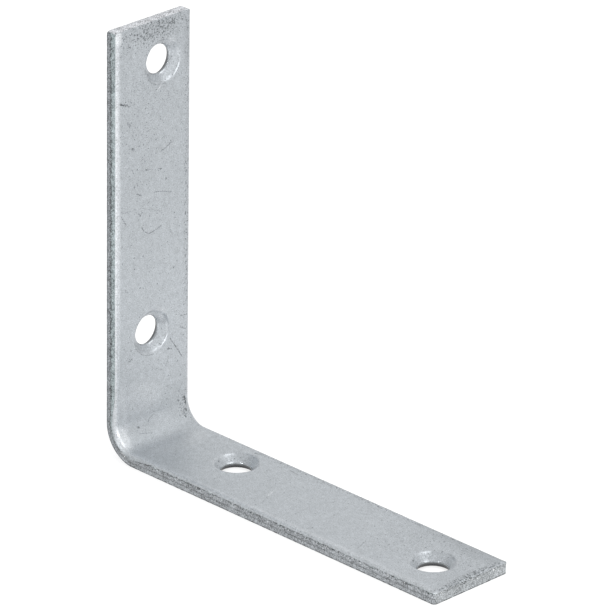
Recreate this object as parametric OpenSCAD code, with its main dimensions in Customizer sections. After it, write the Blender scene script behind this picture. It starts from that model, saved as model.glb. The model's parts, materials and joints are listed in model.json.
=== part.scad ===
// Corner brace bracket: one flat steel strip, bent square, with two countersunk
// screw holes in each leg. In each leg one hole stands near the middle of the
// strip and the other off to one side, so that the screws don't all follow one
// line of the wood's grain.
// The base leg lies along +X with its outer face on the floor, the wall leg
// stands along +Z, and the origin is the middle of the footprint.

/* [Strip] */
// Length of each leg, from the outer face of the other leg to its end
leg_length = 101.6; // [80:0.1:160]
// Width of the strip
strip_width = 22.4; // [20:0.1:32]
// Thickness of the strip
strip_thickness = 3.1; // [2.6:0.1:4]

/* [Bend] */
// Radius of the bend on its inner face
bend_inner_radius = 5.2; // [3:0.1:9]
// How far each side of the strip swells at the inner face of the bend
bend_swell = 0.5; // [0.2:0.05:0.6]
// Depth below the outer face of the bend at which the sides start to swell
swell_start_depth = 0.4; // [0.2:0.1:1]

/* [Edges] */
// Width of the long edges that rolled over when the strip was sheared
roll_width = 1.1; // [0.8:0.05:1.4]
// Depth of those rolled edges
roll_depth = 0.4; // [0.3:0.05:0.45]
// Width of the softened edge at the end of each leg
end_round_width = 0.7; // [0.4:0.05:1]
// Depth of that softened edge
end_round_depth = 0.35; // [0.25:0.05:0.5]
// Radius of the corner at the end of each leg, on the near side, at -Y
near_corner_radius = 0.9; // [0.3:0.1:3]
// Radius of that corner on the far side
far_corner_radius = 0.5; // [0.3:0.1:3]

/* [Screw holes] */
// Diameter of the straight throat, the narrowest part of each hole
hole_diameter = 6.8; // [5.8:0.1:7.6]
// Length of the throat
throat_length = 0.5; // [0.3:0.1:1]
// Diameter of the hole at the outer face, where the punch broke through
breakout_diameter = 7.9; // [7:0.1:9]
// Diameter at which the countersink would meet the inner face
countersink_diameter = 10.4; // [9:0.1:11.4]
// Full angle of the countersink
countersink_angle = 90; // [82:1:110]
// Radius of the soft lip between the countersink and the inner face
lip_radius = 0.8; // [0.3:0.05:1.2]

/* [Hole places] */
// Heel to the wall leg's lower hole
wall_lower_from_heel = 27.8; // [22:0.1:34]
// Top end to the wall leg's upper hole
wall_upper_from_end = 10.0; // [8:0.1:14]
// Heel to the base leg's inner hole
base_inner_from_heel = 26.8; // [22:0.1:34]
// Free end to the base leg's outer hole
base_outer_from_end = 10.8; // [8:0.1:14]
// Wall leg's lower hole off the strip's middle line
wall_lower_step = -0.25; // [-3:0.05:3]
// Wall leg's upper hole off the middle line
wall_upper_step = 2.85; // [-3:0.05:3.5]
// Base leg's inner hole off the middle line
base_inner_step = 3.05; // [-3:0.05:3.5]
// Base leg's outer hole off the middle line
base_outer_step = -0.55; // [-3:0.05:3]

/* [Hidden] */
$fn = 96;
zinc_grey = [0.74, 0.76, 0.78];

// How far a cutter runs past the face that it leaves
overrun = 1;
// Angle at which the arc of a softened edge meets the surfaces that it joins
soft_angle = 8;

// The bend: its outer radius, which is also how far its axis, parallel to Y,
// stands from the outer face of each leg
bend_outer_radius = bend_inner_radius + strip_thickness;

// The rolled edges: an arc that is tangent to the inner face
roll_radius = (pow(roll_width, 2) + pow(roll_depth, 2)) / (2 * roll_depth);
roll_centre_y = strip_width / 2 - roll_width;

// The swelling: its side is part of a large sphere, which leaves the side of
// the strip where the swelling starts and stands the full swell proud of it at
// the bend's inner face
swell_start_radius = bend_outer_radius - swell_start_depth;
swell_span = pow(swell_start_radius, 2) - pow(bend_inner_radius, 2);
swell_drop = (swell_span - pow(bend_swell, 2)) / (2 * bend_swell);
swell_radius = sqrt(pow(swell_start_radius, 2) + pow(swell_drop, 2));
swell_centre_y = swell_drop - strip_width / 2;

// The countersink: its depth, and the centre of the lip's arc, which stands
// equally far from the cone and from the inner face
cone_half = countersink_angle / 2;
cone_depth = (countersink_diameter - hole_diameter) / 2 / tan(cone_half);
lip_inset = lip_radius * cos(soft_angle);
lip_r = countersink_diameter / 2 + lip_inset * (1 - sin(cone_half)) / cos(cone_half);

// All modules below place their shapes from the heel, the outer corner where
// the two legs' outer faces would meet: x runs along the base leg and z up the
// wall leg.

// The wall leg is the base leg with x and z exchanged
module as_wall_leg() {
  mirror([1, 0, -1])
    children();
}

module on_both_legs() {
  children();
  as_wall_leg()
    children();
}

// Section of the strip: x runs from the inner face to the outer one, y across
// the width. Its arcs carry on past the strip's sides, where the swelling
// needs them.
module strip_section() {
  reach = roll_centre_y + roll_radius;
  intersection() {
    translate([0, -reach])
      square([strip_thickness, 2 * reach]);
    union() {
      translate([0, -roll_centre_y])
        square([2 * strip_thickness, 2 * roll_centre_y]);
      translate([roll_radius, -reach])
        square([2 * strip_thickness, 2 * reach]);
      for (side = [-1, 1])
        translate([roll_radius, side * roll_centre_y])
          circle(r = roll_radius);
    }
  }
}

// The strip with its rolled edges, along both legs and round the bend
module rolled_strip() {
  on_both_legs()
    translate([bend_outer_radius, 0, strip_thickness])
      rotate([0, 90, 0])
        linear_extrude(height = leg_length - bend_outer_radius)
          strip_section();
  translate([bend_outer_radius, 0, bend_outer_radius])
    rotate([90, 0, 0])
      rotate_extrude(angle = 90, start = 180)
        translate([bend_inner_radius, 0])
          strip_section();
}

// Half of the base leg's flat outline, on the far side of the middle line, with
// its free corner rounded
module half_outline(corner_radius) {
  translate([-overrun, 0])
    square([leg_length + overrun - corner_radius, strip_width / 2]);
  square([leg_length, strip_width / 2 - corner_radius]);
  translate([leg_length - corner_radius, strip_width / 2 - corner_radius])
    circle(r = corner_radius);
}

// Flat outline of the base leg. The shear that cut it to length left the corner
// on the far side the sharper one.
module leg_outline() {
  half_outline(far_corner_radius);
  mirror([0, 1])
    half_outline(near_corner_radius);
}

// Lens that lets the sides of the bend swell
module bend_lens() {
  translate([bend_outer_radius, 0, bend_outer_radius])
    intersection_for (side = [-1, 1])
      translate([0, side * swell_centre_y, 0])
        sphere(r = swell_radius);
}

// Everything between the sides and the ends of the two legs
module blank_limits() {
  on_both_legs()
    translate([0, 0, -overrun])
      linear_extrude(height = bend_outer_radius + overrun)
        leg_outline();
  bend_lens();
}

// Cutter for one hole, with the inner face at z = 0 and the metal below it
module hole_cutter() {
  throat_end = cone_depth + throat_length;
  flare = (breakout_diameter - hole_diameter) / 2 / (strip_thickness - throat_end);
  lip_edge = lip_r - lip_radius * sin(soft_angle);
  rotate_extrude()
    difference() {
      polygon([
        [0, overrun],
        [lip_edge, overrun],
        [lip_edge, -lip_inset],
        [lip_r - lip_inset * cos(cone_half), lip_inset * (sin(cone_half) - 1)],
        [hole_diameter / 2, -cone_depth],
        [hole_diameter / 2, -throat_end],
        [breakout_diameter / 2 + flare * overrun, -strip_thickness - overrun],
        [0, -strip_thickness - overrun]
      ]);
      translate([lip_r, -lip_inset])
        circle(r = lip_radius);
    }
}

// Both holes of the base leg, each at its distance from the heel and its step
// off the middle line
module leg_holes(near_heel, near_heel_step, near_end, near_end_step) {
  translate([near_heel, near_heel_step, strip_thickness])
    hole_cutter();
  translate([near_end, near_end_step, strip_thickness])
    hole_cutter();
}

// Cutter for the softened edge at the base leg's end: the arc leaves the inner
// face at the soft angle and ends on the end face
module end_round_cutter() {
  arc_radius = (pow(end_round_width, 2) + pow(end_round_depth, 2)) / 2
    / (end_round_depth * cos(soft_angle) - end_round_width * sin(soft_angle));
  translate([leg_length, 0, strip_thickness])
    rotate([90, 0, 0])
      linear_extrude(height = strip_width + 2 * overrun, center = true)
        difference() {
          translate([-end_round_width, -end_round_depth])
            square([end_round_width + overrun, end_round_depth + overrun]);
          translate([-end_round_width, 0])
            rotate([0, 0, -soft_angle])
              translate([0, -arc_radius])
                circle(r = arc_radius);
        }
}

module bracket() {
  color(zinc_grey)
    translate([-leg_length / 2, 0, 0])
      difference() {
        intersection() {
          rolled_strip();
          blank_limits();
        }
        on_both_legs()
          end_round_cutter();
        leg_holes(base_inner_from_heel, base_inner_step,
          leg_length - base_outer_from_end, base_outer_step);
        as_wall_leg()
          leg_holes(wall_lower_from_heel, wall_lower_step,
            leg_length - wall_upper_from_end, wall_upper_step);
      }
}

bracket();
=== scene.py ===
"""Corner brace bracket: a zinc-plated steel strip with countersunk holes, bent square.

The strip is made the way the real one is. A flat blank is laid out with its sheared
edges and its punched and countersunk holes, and a Geometry Nodes tree bends it and
tears its sheared edges. A place in the strip's own frame is the distance along it from
the middle of the bend (negative on the wall leg), the distance across it from its
middle line (negative on the near side), and the depth below its inner face.
"""
import json
import logging
import math
from collections.abc import Sequence
from dataclasses import dataclass, field
from enum import Enum

import bpy
import numpy as np
from bpy.types import Material, Mesh, Node, NodeSocket, NodeTree, Object
from mathutils import Matrix, Vector, noise


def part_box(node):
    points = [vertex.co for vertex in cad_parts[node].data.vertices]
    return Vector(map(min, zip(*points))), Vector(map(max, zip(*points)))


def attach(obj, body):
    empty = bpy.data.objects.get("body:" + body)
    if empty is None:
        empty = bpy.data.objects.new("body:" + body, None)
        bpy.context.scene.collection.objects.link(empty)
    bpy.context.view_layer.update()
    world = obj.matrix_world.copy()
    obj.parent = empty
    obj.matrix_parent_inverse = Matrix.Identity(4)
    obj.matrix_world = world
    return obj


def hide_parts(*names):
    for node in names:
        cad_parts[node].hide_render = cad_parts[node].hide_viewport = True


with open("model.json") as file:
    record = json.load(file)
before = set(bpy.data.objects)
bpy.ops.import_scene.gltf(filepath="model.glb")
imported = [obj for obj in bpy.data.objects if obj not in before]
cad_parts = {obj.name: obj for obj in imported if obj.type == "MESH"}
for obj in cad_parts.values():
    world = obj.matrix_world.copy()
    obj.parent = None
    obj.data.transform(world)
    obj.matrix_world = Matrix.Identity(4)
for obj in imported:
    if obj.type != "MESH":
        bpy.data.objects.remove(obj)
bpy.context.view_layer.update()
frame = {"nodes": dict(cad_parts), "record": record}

# A colour with its opacity, three numbers for the three axes, and two numbers: a range,
# or a place along and across
Colour = tuple[float, float, float, float]
Triple = tuple[float, float, float]
Pair = tuple[float, float]

LOG = logging.getLogger("corner_brace")

MM = 0.001
NODE_NAME = "bracket"
BODY_NAME = "root"

# Names of the attributes that the mesh carries for its finish. The place is in the
# strip's frame, in millimetres. The zone holds the share of sheared side, the depth
# below the line of the tear in millimetres, and how far the punch has gone through:
# 1 at the throat's end and 2 at the outer face.
PLACE_ATTRIBUTE = "strip_place"
ZONE_ATTRIBUTE = "strip_zone"


class Leg(Enum):
    """The two legs, each with the sign of its distances along the strip."""

    WALL = -1
    BASE = 1


class Tone(Enum):
    """Whether a mark on the plating is darker or lighter than the metal round it."""

    DARK = "dark"
    LIGHT = "light"


@dataclass(frozen=True)
class StripSizes:
    """Sizes of the steel strip, in metres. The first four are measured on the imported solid."""

    leg_length: float
    width: float
    thickness: float
    heel_x: float
    bend_inner_radius: float = 5.2 * MM
    bend_swell: float = 0.5 * MM
    swell_start_depth: float = 0.4 * MM
    roll_width: float = 1.1 * MM
    roll_depth: float = 0.4 * MM
    roll_arc_share: float = 0.98
    end_round_width: float = 0.7 * MM
    end_round_depth: float = 0.35 * MM
    near_corner_radius: float = 0.9 * MM
    far_corner_radius: float = 0.5 * MM

    @classmethod
    def from_frame(cls) -> "StripSizes":
        """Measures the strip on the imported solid.

        Returns:
            The sizes, with the leg's length, the width and the thickness as packed.
        """
        low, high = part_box(NODE_NAME)
        points = [vertex.co for vertex in frame["nodes"][NODE_NAME].data.vertices]
        middle_x = (low.x + high.x) / 2
        middle_z = (low.z + high.z) / 2
        return cls(
            leg_length=high.z - low.z,
            width=2 * max(abs(point.y) for point in points if point.z > middle_z),
            thickness=max(point.z for point in points if point.x > middle_x),
            heel_x=low.x,
        )

    @property
    def bend_outer_radius(self) -> float:
        """Radius of the bend on the strip's outer face."""
        return self.bend_inner_radius + self.thickness

    @property
    def bend_length(self) -> float:
        """Length of strip in the bend, along the middle of its thickness."""
        return math.pi / 2 * (self.bend_inner_radius + self.thickness / 2)

    @property
    def half_length(self) -> float:
        """Distance along the strip from the middle of the bend to either end."""
        return self.bend_length / 2 + self.leg_length - self.bend_outer_radius

    @property
    def roll_start(self) -> float:
        """Distance across the strip at which its edges begin to roll over."""
        return self.width / 2 - self.roll_width

    @property
    def roll_radius(self) -> float:
        """Radius of the rolled edge's arc, which is tangent to the inner face."""
        return (self.roll_width**2 + self.roll_depth**2) / (2 * self.roll_depth)

    @property
    def end_round_radius(self) -> float:
        """Radius of the softened edge's arc at the end of each leg."""
        return (self.end_round_width**2 + self.end_round_depth**2) / (2 * self.end_round_depth)

    def along_from_heel(self, leg: Leg, distance: float) -> float:
        """Gives the place along the strip of a distance from the heel.

        Args:
            leg: The leg on which the distance is measured.
            distance: Distance from the outer corner, in metres.

        Returns:
            The signed distance along the strip from the middle of the bend.
        """
        return leg.value * (self.bend_length / 2 + distance - self.bend_outer_radius)

    def roll_depth_at(self, across: np.ndarray) -> np.ndarray:
        """Depth of the rolled edge.

        Args:
            across: Distances across the strip from its middle line.

        Returns:
            How far the face has dropped there.
        """
        longest = self.roll_arc_share * self.roll_radius
        past = np.clip(np.abs(across) - self.roll_start, 0, longest)
        return self.roll_radius - np.sqrt(self.roll_radius**2 - past**2)

    def end_depth_at(self, along: np.ndarray) -> np.ndarray:
        """Depth of the softened edge at the ends.

        Args:
            along: Distances along the strip from the middle of the bend.

        Returns:
            How far the face has dropped there.
        """
        start = self.half_length - self.end_round_width
        past = np.clip(np.abs(along) - start, 0, self.end_round_radius)
        return self.end_round_radius - np.sqrt(self.end_round_radius**2 - past**2)

    def face_depth(
        self, along: np.ndarray, across: np.ndarray, softness: float = 3.0
    ) -> np.ndarray:
        """Depth of the inner face, with the two kinds of rounded edge blended at the corners.

        Args:
            along: Distances along the strip.
            across: Distances across it.
            softness: Power of the blend, in which a lower one gives a rounder mitre.

        Returns:
            The depth below the flat of the inner face.
        """
        rolled = self.roll_depth_at(across)
        ended = self.end_depth_at(along)
        return (rolled**softness + ended**softness) ** (1 / softness)

    def side_swell(self, along: np.ndarray, depth: np.ndarray) -> np.ndarray:
        """How far the side of the strip swells at the bend.

        Args:
            along: Distances along the strip.
            depth: Depths below the inner face.

        Returns:
            The swelling, which is none away from the bend.
        """
        start_radius = self.bend_outer_radius - self.swell_start_depth
        span = start_radius**2 - self.bend_inner_radius**2
        drop = (span - self.bend_swell**2) / (2 * self.bend_swell)
        past_bend = np.clip(np.abs(along) - self.bend_length / 2, 0, None)
        reach = np.minimum(np.hypot(past_bend, self.bend_inner_radius + depth), start_radius)
        return np.sqrt(start_radius**2 + drop**2 - reach**2) - drop

    def edge_swell(self, along: np.ndarray, rounds: int = 8) -> np.ndarray:
        """Swelling at the top of the rolled edge, whose depth grows with the swelling.

        Args:
            along: Distances along the strip.
            rounds: How often the depth and the swelling are worked out from each other.

        Returns:
            The swelling of the edge at each distance.
        """
        swell = np.zeros_like(along)
        for _ in range(rounds):
            depth = self.roll_depth_at(self.width / 2 + swell)
            swell = self.side_swell(along, depth)
        return swell


@dataclass(frozen=True)
class PathCorner:
    """A corner of a section's outline, with the arc that rounds it and the straight before it."""

    across: float
    depth: float
    radius: float = 0.0
    arc_steps: int = 0
    straight_steps: int = 1


def rounded_path(corners: Sequence[PathCorner]) -> np.ndarray:
    """Points along an outline of straights and arcs.

    Args:
        corners: The outline's corners in order. The first and the last aren't rounded.

    Returns:
        The points, one row each.
    """
    places = [np.array([corner.across, corner.depth]) for corner in corners]
    points = [places[0]]
    for index, corner in enumerate(corners[1:], start=1):
        place = places[index]
        arc = [place]
        if corner.radius:
            back = (places[index - 1] - place) / np.linalg.norm(places[index - 1] - place)
            on = (places[index + 1] - place) / np.linalg.norm(places[index + 1] - place)
            turn = math.pi - math.acos(float(np.clip(back @ on, -1, 1)))
            tangent = corner.radius * math.tan(turn / 2)
            inward = (back + on) / np.linalg.norm(back + on)
            centre = place + inward * corner.radius / math.cos(turn / 2)
            first = place + back * tangent - centre
            last = place + on * tangent - centre
            steps = np.linspace(0, 1, corner.arc_steps + 1)
            arc = [
                centre
                + (first * math.sin((1 - step) * turn) + last * math.sin(step * turn))
                / math.sin(turn)
                for step in steps
            ]
        start = points[-1]
        for step in range(1, corner.straight_steps):
            points.append(start + (arc[0] - start) * step / corner.straight_steps)
        points.extend(arc)
    return np.array(points)


@dataclass(frozen=True)
class ScrewHole:
    """A countersunk hole: a lip, a cone, a short throat and the flare of the breakout."""

    name: str
    along: float
    across: float
    throat_radius: float
    throat_length: float = 0.5 * MM
    countersink_radius: float = 5.2 * MM
    lip_radius: float = 0.8 * MM
    breakout_radius: float = 3.95 * MM
    throat_edge_radius: float = 0.2 * MM
    back_edge_radius: float = 0.12 * MM
    flat_margin: float = 0.9 * MM

    @property
    def throat_top(self) -> float:
        """Depth at which the cone meets the throat, as the countersink is square."""
        return self.countersink_radius - self.throat_radius

    def punch_progress(self, depth: float, thickness: float) -> float:
        """How far the punch has gone through at a depth of the hole's lining.

        Args:
            depth: Depth below the inner face.
            thickness: The strip's thickness.

        Returns:
            None on the cone, 1 at the throat's end and 2 just above the outer face.
        """
        if depth >= thickness:
            return 0.0
        steps = (self.throat_top, self.throat_top + self.throat_length, thickness)
        return float(np.interp(depth, steps, (0, 1, 2)))

    @classmethod
    def all_from_frame(cls, sizes: StripSizes) -> tuple["ScrewHole", ...]:
        """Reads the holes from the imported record's bore mounts.

        Args:
            sizes: The strip's sizes.

        Returns:
            One hole for each bore, on the leg that its axis points through.
        """
        holes = []
        for mount in frame["record"]["mounts"]:
            if mount["kind"] != "bore":
                continue
            x, y, z = mount["pos_m"]
            on_wall = abs(mount["axis"][0]) > 0.5
            leg = Leg.WALL if on_wall else Leg.BASE
            distance = z if on_wall else x - sizes.heel_x
            holes.append(
                cls(
                    name=mount["name"],
                    along=sizes.along_from_heel(leg, distance),
                    across=y,
                    throat_radius=mount["dims"]["r_mm"] * MM,
                )
            )
        return tuple(holes)

    def profile(self, thickness: float) -> np.ndarray:
        """The hole's section, from the inner face to the outer one.

        Args:
            thickness: The strip's thickness.

        Returns:
            Rows of radius and depth.
        """
        throat_end = self.throat_top + self.throat_length
        return rounded_path(
            (
                PathCorner(self.countersink_radius + self.flat_margin, 0),
                PathCorner(self.countersink_radius, 0, self.lip_radius, 6, 2),
                PathCorner(self.throat_radius, self.throat_top, self.throat_edge_radius, 3, 5),
                PathCorner(self.throat_radius, throat_end, self.throat_edge_radius, 2, 1),
                PathCorner(self.breakout_radius, thickness, self.back_edge_radius, 3, 2),
                PathCorner(self.breakout_radius + self.flat_margin, thickness, 0, 0, 2),
            )
        )


def rounded_square(place: Pair, radius: float) -> Pair:
    """Moves a place of the unit square so that the square's outer corner becomes round.

    Args:
        place: The place, in shares of the square's side from its inner corner.
        radius: The corner's radius as a share of the side.

    Returns:
        The moved place. Places on the two inner sides stay where they are.
    """
    ring = max(place)
    if ring == 0:
        return place
    turn = place[1] / (2 * ring) if place[0] >= place[1] else 1 - place[0] / (2 * ring)
    arc_radius = radius * ring
    straight = ring - arc_radius
    arc = math.pi / 2 * arc_radius
    travelled = turn * (2 * straight + arc)
    if travelled <= straight:
        return ring, travelled
    if travelled >= straight + arc:
        return 2 * straight + arc - travelled, ring
    angle = (travelled - straight) / arc_radius
    return straight + arc_radius * math.cos(angle), straight + arc_radius * math.sin(angle)


@dataclass
class MeshParts:
    """Vertices, faces and zones of the blank, collected as they are made."""

    places: list[np.ndarray] = field(default_factory=list)
    zones: list[np.ndarray] = field(default_factory=list)
    quads: list[np.ndarray] = field(default_factory=list)
    count: int = 0

    def add_points(self, places: np.ndarray, zones: np.ndarray) -> np.ndarray:
        """Adds vertices.

        Args:
            places: Rows of along, across and depth.
            zones: Rows of shear, tear and punch.

        Returns:
            The new vertices' numbers.
        """
        self.places.append(places)
        self.zones.append(np.broadcast_to(zones, places.shape))
        numbers = np.arange(self.count, self.count + len(places))
        self.count += len(places)
        return numbers

    def add_band(self, first: np.ndarray, second: np.ndarray) -> None:
        """Joins two closed loops of as many vertices with a band of quads.

        Args:
            first: Numbers of the outer loop, counter-clockwise from above.
            second: Numbers of the next loop, inside or below the first.
        """
        self.quads.append(
            np.column_stack([first, np.roll(first, -1), np.roll(second, -1), second])
        )

    def to_mesh(self, name: str) -> Mesh:
        """Makes the mesh, without the vertices that no face uses.

        Args:
            name: The mesh's name.

        Returns:
            The mesh, with its places and zones as attributes.
        """
        places = np.concatenate(self.places)
        zones = np.concatenate(self.zones)
        quads = np.concatenate(self.quads)
        used = np.unique(quads)
        renumber = np.zeros(len(places), int)
        renumber[used] = np.arange(len(used))
        places = places[used]
        mesh = bpy.data.meshes.new(name)
        flat = places * (1, 1, -1)
        mesh.from_pydata(flat.tolist(), [], renumber[quads].tolist())
        for attribute_name, values in (
            (PLACE_ATTRIBUTE, places / MM),
            (ZONE_ATTRIBUTE, zones[used]),
        ):
            attribute = mesh.attributes.new(attribute_name, "FLOAT_VECTOR", "POINT")
            attribute.data.foreach_set("vector", values.astype(np.float32).ravel())
        mesh.validate()
        return mesh


@dataclass
class StripBlank:
    """The flat blank: sheared to width and length, punched and countersunk."""

    sizes: StripSizes
    holes: tuple[ScrewHole, ...]
    station_spacing: float = 0.42 * MM
    bend_steps: int = 40
    row_count: int = 20
    roll_steps: int = 8
    edge_radius: float = 0.2 * MM
    bend_edge_radius: float = 0.8 * MM
    bend_edge_middle: float = -1.5 * MM
    bend_edge_reach: float = 8.0 * MM
    edge_slope: float = math.radians(45)
    edge_steps: int = 5
    edge_shear_power: int = 3
    cut_rows: tuple[float, ...] = (0.35, 0.7, 1.0)
    wall_tear_depth: float = 1.75 * MM
    base_tear_depth: float = 0.62 * MM
    top_end_tear_depth: float = 2.6 * MM
    tear_change: Pair = (-6 * MM, 4 * MM)
    tear_wander: float = 0.16 * MM
    tear_wave_length: float = 1.7 * MM
    tear_layers: Pair = (0.5, 7.5)
    fine_tear_scale: float = 3.1
    fine_tear_share: float = 0.6
    ledge_height: float = 0.07 * MM
    ledge_inset: float = 0.05 * MM
    tear_taper: float = 0.05 * MM
    tear_rows: int = 10
    back_edge: float = 0.09 * MM
    back_row: float = 0.3
    back_row_shear: float = 0.8
    normal_probe: float = 0.1 * MM
    hole_block: float = 9.4 * MM
    hole_rings: int = 5

    @property
    def edge_inset(self) -> float:
        """How far inside the outline the inner face's rounded edge begins."""
        return self.edge_radius * (1 - math.sin(self.edge_slope))

    def edge_radii(self, along: np.ndarray) -> np.ndarray:
        """Radius of the rounded edge, which grows at the bend, where the metal bulged.

        Args:
            along: Distances along the strip.

        Returns:
            The radius at each distance.
        """
        away = np.clip(np.abs(along - self.bend_edge_middle) / self.bend_edge_reach, 0, 1)
        bulged = 0.5 + 0.5 * np.cos(math.pi * away)
        return self.edge_radius + (self.bend_edge_radius - self.edge_radius) * bulged

    def roll_shares(self) -> np.ndarray:
        """Shares of the rolled edge's width at equal turns of its arc."""
        full = math.asin(self.sizes.roll_width / self.sizes.roll_radius)
        turns = np.linspace(0, full, self.roll_steps + 1)[1:]
        return np.sin(turns) / math.sin(full)

    def core_stations(self) -> np.ndarray:
        """Distances along the strip of the mesh lines between the two end zones."""
        half_bend = self.sizes.bend_length / 2
        end_start = self.sizes.half_length - self.sizes.roll_width
        bend = np.linspace(0, half_bend, self.bend_steps // 2 + 1)
        count = round((end_start - half_bend) / self.station_spacing)
        straight = np.linspace(half_bend, end_start, count + 1)[1:]
        one_side = np.concatenate([bend, straight])
        return np.concatenate([-one_side[:0:-1], one_side])

    def plan(self, inset: float, swells: bool) -> np.ndarray:
        """Grid of places on the blank, seen from above.

        Args:
            inset: How far the grid's rim lies inside the blank's outline.
            swells: Whether the rim follows the swelling at the bend.

        Returns:
            An array of stations by rows, with along and across for each.
        """
        sizes = self.sizes
        shares = self.roll_shares()
        side = sizes.roll_width - inset
        core = self.core_stations()
        end_start = core[-1]
        ends = end_start + side * shares
        along = np.concatenate([-ends[::-1], core, ends])
        flat_rows = np.linspace(-sizes.roll_start, sizes.roll_start, self.row_count + 1)
        rolls = sizes.roll_start + side * shares
        across = np.concatenate([-rolls[::-1], flat_rows, rolls])
        grid = np.stack(np.meshgrid(along, across, indexing="ij"), axis=-1)
        steps = self.roll_steps
        for sign_along in (-1, 1):
            for sign_across in (-1, 1):
                radius = sizes.far_corner_radius if sign_across > 0 else sizes.near_corner_radius
                share = max(radius - inset, 0) / side
                for i in range(steps):
                    for j in range(steps):
                        a, b = rounded_square((shares[i], shares[j]), share)
                        station = len(along) - steps + i if sign_along > 0 else steps - 1 - i
                        row = len(across) - steps + j if sign_across > 0 else steps - 1 - j
                        grid[station, row] = (
                            sign_along * (end_start + a * side),
                            sign_across * (sizes.roll_start + b * side),
                        )
        if swells:
            rounder = self.edge_radii(along) - self.edge_radius
            swell = sizes.edge_swell(along) - rounder * (1 - math.sin(self.edge_slope))
            swell = swell[:, None]
            grid[:, -steps:, 1] += swell * shares
            grid[:, :steps, 1] -= swell * shares[::-1]
        return grid

    @staticmethod
    def rim(grid: np.ndarray) -> np.ndarray:
        """Values round a grid's rim, counter-clockwise from above.

        Args:
            grid: An array of stations by rows.

        Returns:
            The rim's values in order, each corner once.
        """
        return np.concatenate([grid[:-1, 0], grid[-1, :-1], grid[:0:-1, -1], grid[0, :0:-1]])

    def rim_normals(self) -> np.ndarray:
        """Outward directions round the rim, from above.

        Returns:
            Rows of along and across, of unit length.
        """
        inner = self.rim(self.plan(self.normal_probe, False))
        outer = self.rim(self.plan(0.0, False))
        ahead = np.roll(outer, -1, axis=0) - np.roll(outer, 1, axis=0)
        normals = np.column_stack([ahead[:, 1], -ahead[:, 0]])
        normals /= np.linalg.norm(normals, axis=1)[:, None]
        away = outer - inner
        turned = np.sum(normals * away, axis=1) < 0
        normals[turned] *= -1
        return normals

    def tear_line(self, rim: np.ndarray) -> np.ndarray:
        """Depth round the rim at which the shear's clean cut turns into torn metal.

        Args:
            rim: Places round the rim.

        Returns:
            The depth at each place, which wanders as a real tear does.
        """
        start, end = self.tear_change
        on_base = np.clip((rim[:, 0] - start) / (end - start), 0, 1)
        past_end = (-rim[:, 0] - self.sizes.half_length) / self.sizes.roll_width
        to_top_end = np.clip(past_end + 1, 0, 1)
        depth = self.wall_tear_depth + (self.base_tear_depth - self.wall_tear_depth) * on_base
        depth += (self.top_end_tear_depth - self.wall_tear_depth) * to_top_end
        scale = 1 / self.tear_wave_length
        finer = self.fine_tear_scale
        layer, fine_layer = self.tear_layers
        wander = [noise.noise(Vector((x * scale, y * scale, layer))) for x, y in rim]
        fine = [
            noise.noise(Vector((x * scale * finer, y * scale * finer, fine_layer))) for x, y in rim
        ]
        uneven = np.array(wander) + self.fine_tear_share * np.array(fine)
        return depth + self.tear_wander * uneven

    def build(self) -> Mesh:
        """Lays out the whole blank.

        Returns:
            The flat mesh, with its inner face at height zero.
        """
        parts = MeshParts()
        inner = self.add_face(parts, self.plan(self.edge_inset, True), None)
        back_inset = self.ledge_inset + self.tear_taper + self.back_edge
        outer = self.add_face(parts, self.plan(back_inset, False), self.sizes.thickness)
        blocks = [self.hole_span(hole) for hole in self.holes]
        self.add_quads(parts, inner, blocks, faces_down=False)
        self.add_quads(parts, outer, blocks, faces_down=True)
        self.add_skirt(parts, inner, outer)
        for hole, span in zip(self.holes, blocks):
            self.add_hole(parts, hole, span, inner, outer)
        return parts.to_mesh("strip blank")

    def add_face(self, parts: MeshParts, plan: np.ndarray, depth: float | None) -> np.ndarray:
        """Adds the vertices of the inner or the outer face.

        Args:
            parts: The mesh so far.
            plan: The face's places, stations by rows.
            depth: The depth of a flat face, or None for the inner face's own shape.

        Returns:
            The vertices' numbers, stations by rows.
        """
        if depth is None:
            depths = self.sizes.face_depth(plan[..., 0], plan[..., 1])
        else:
            depths = np.full(plan.shape[:2], depth)
        places = np.dstack([plan, depths]).reshape(-1, 3)
        return parts.add_points(places, np.zeros(3)).reshape(plan.shape[:2])

    def hole_span(self, hole: ScrewHole) -> tuple[int, int]:
        """Finds the mesh lines between which a hole's block lies.

        Args:
            hole: The hole.

        Returns:
            The first and the last station of its block.
        """
        along = self.plan(0.0, False)[:, len(self.roll_shares()), 0]
        first = int(np.argmin(np.abs(along - (hole.along - self.hole_block))))
        last = int(np.argmin(np.abs(along - (hole.along + self.hole_block))))
        return first, min(last, len(along) - self.roll_steps - 1)

    def add_quads(
        self, parts: MeshParts, numbers: np.ndarray, blocks: list[tuple[int, int]], faces_down: bool
    ) -> None:
        """Covers a face with quads, apart from the holes' blocks.

        Args:
            parts: The mesh so far.
            numbers: The face's vertices, stations by rows.
            blocks: First and last station of each hole's block.
            faces_down: Whether the face looks down, as the outer one does.
        """
        quads = np.stack(
            [numbers[:-1, :-1], numbers[1:, :-1], numbers[1:, 1:], numbers[:-1, 1:]], axis=-1
        )
        keep = np.ones(quads.shape[:2], bool)
        for first, last in blocks:
            keep[first:last, self.roll_steps : -self.roll_steps] = False
        kept = quads[keep]
        parts.quads.append(kept[:, ::-1] if faces_down else kept)

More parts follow.
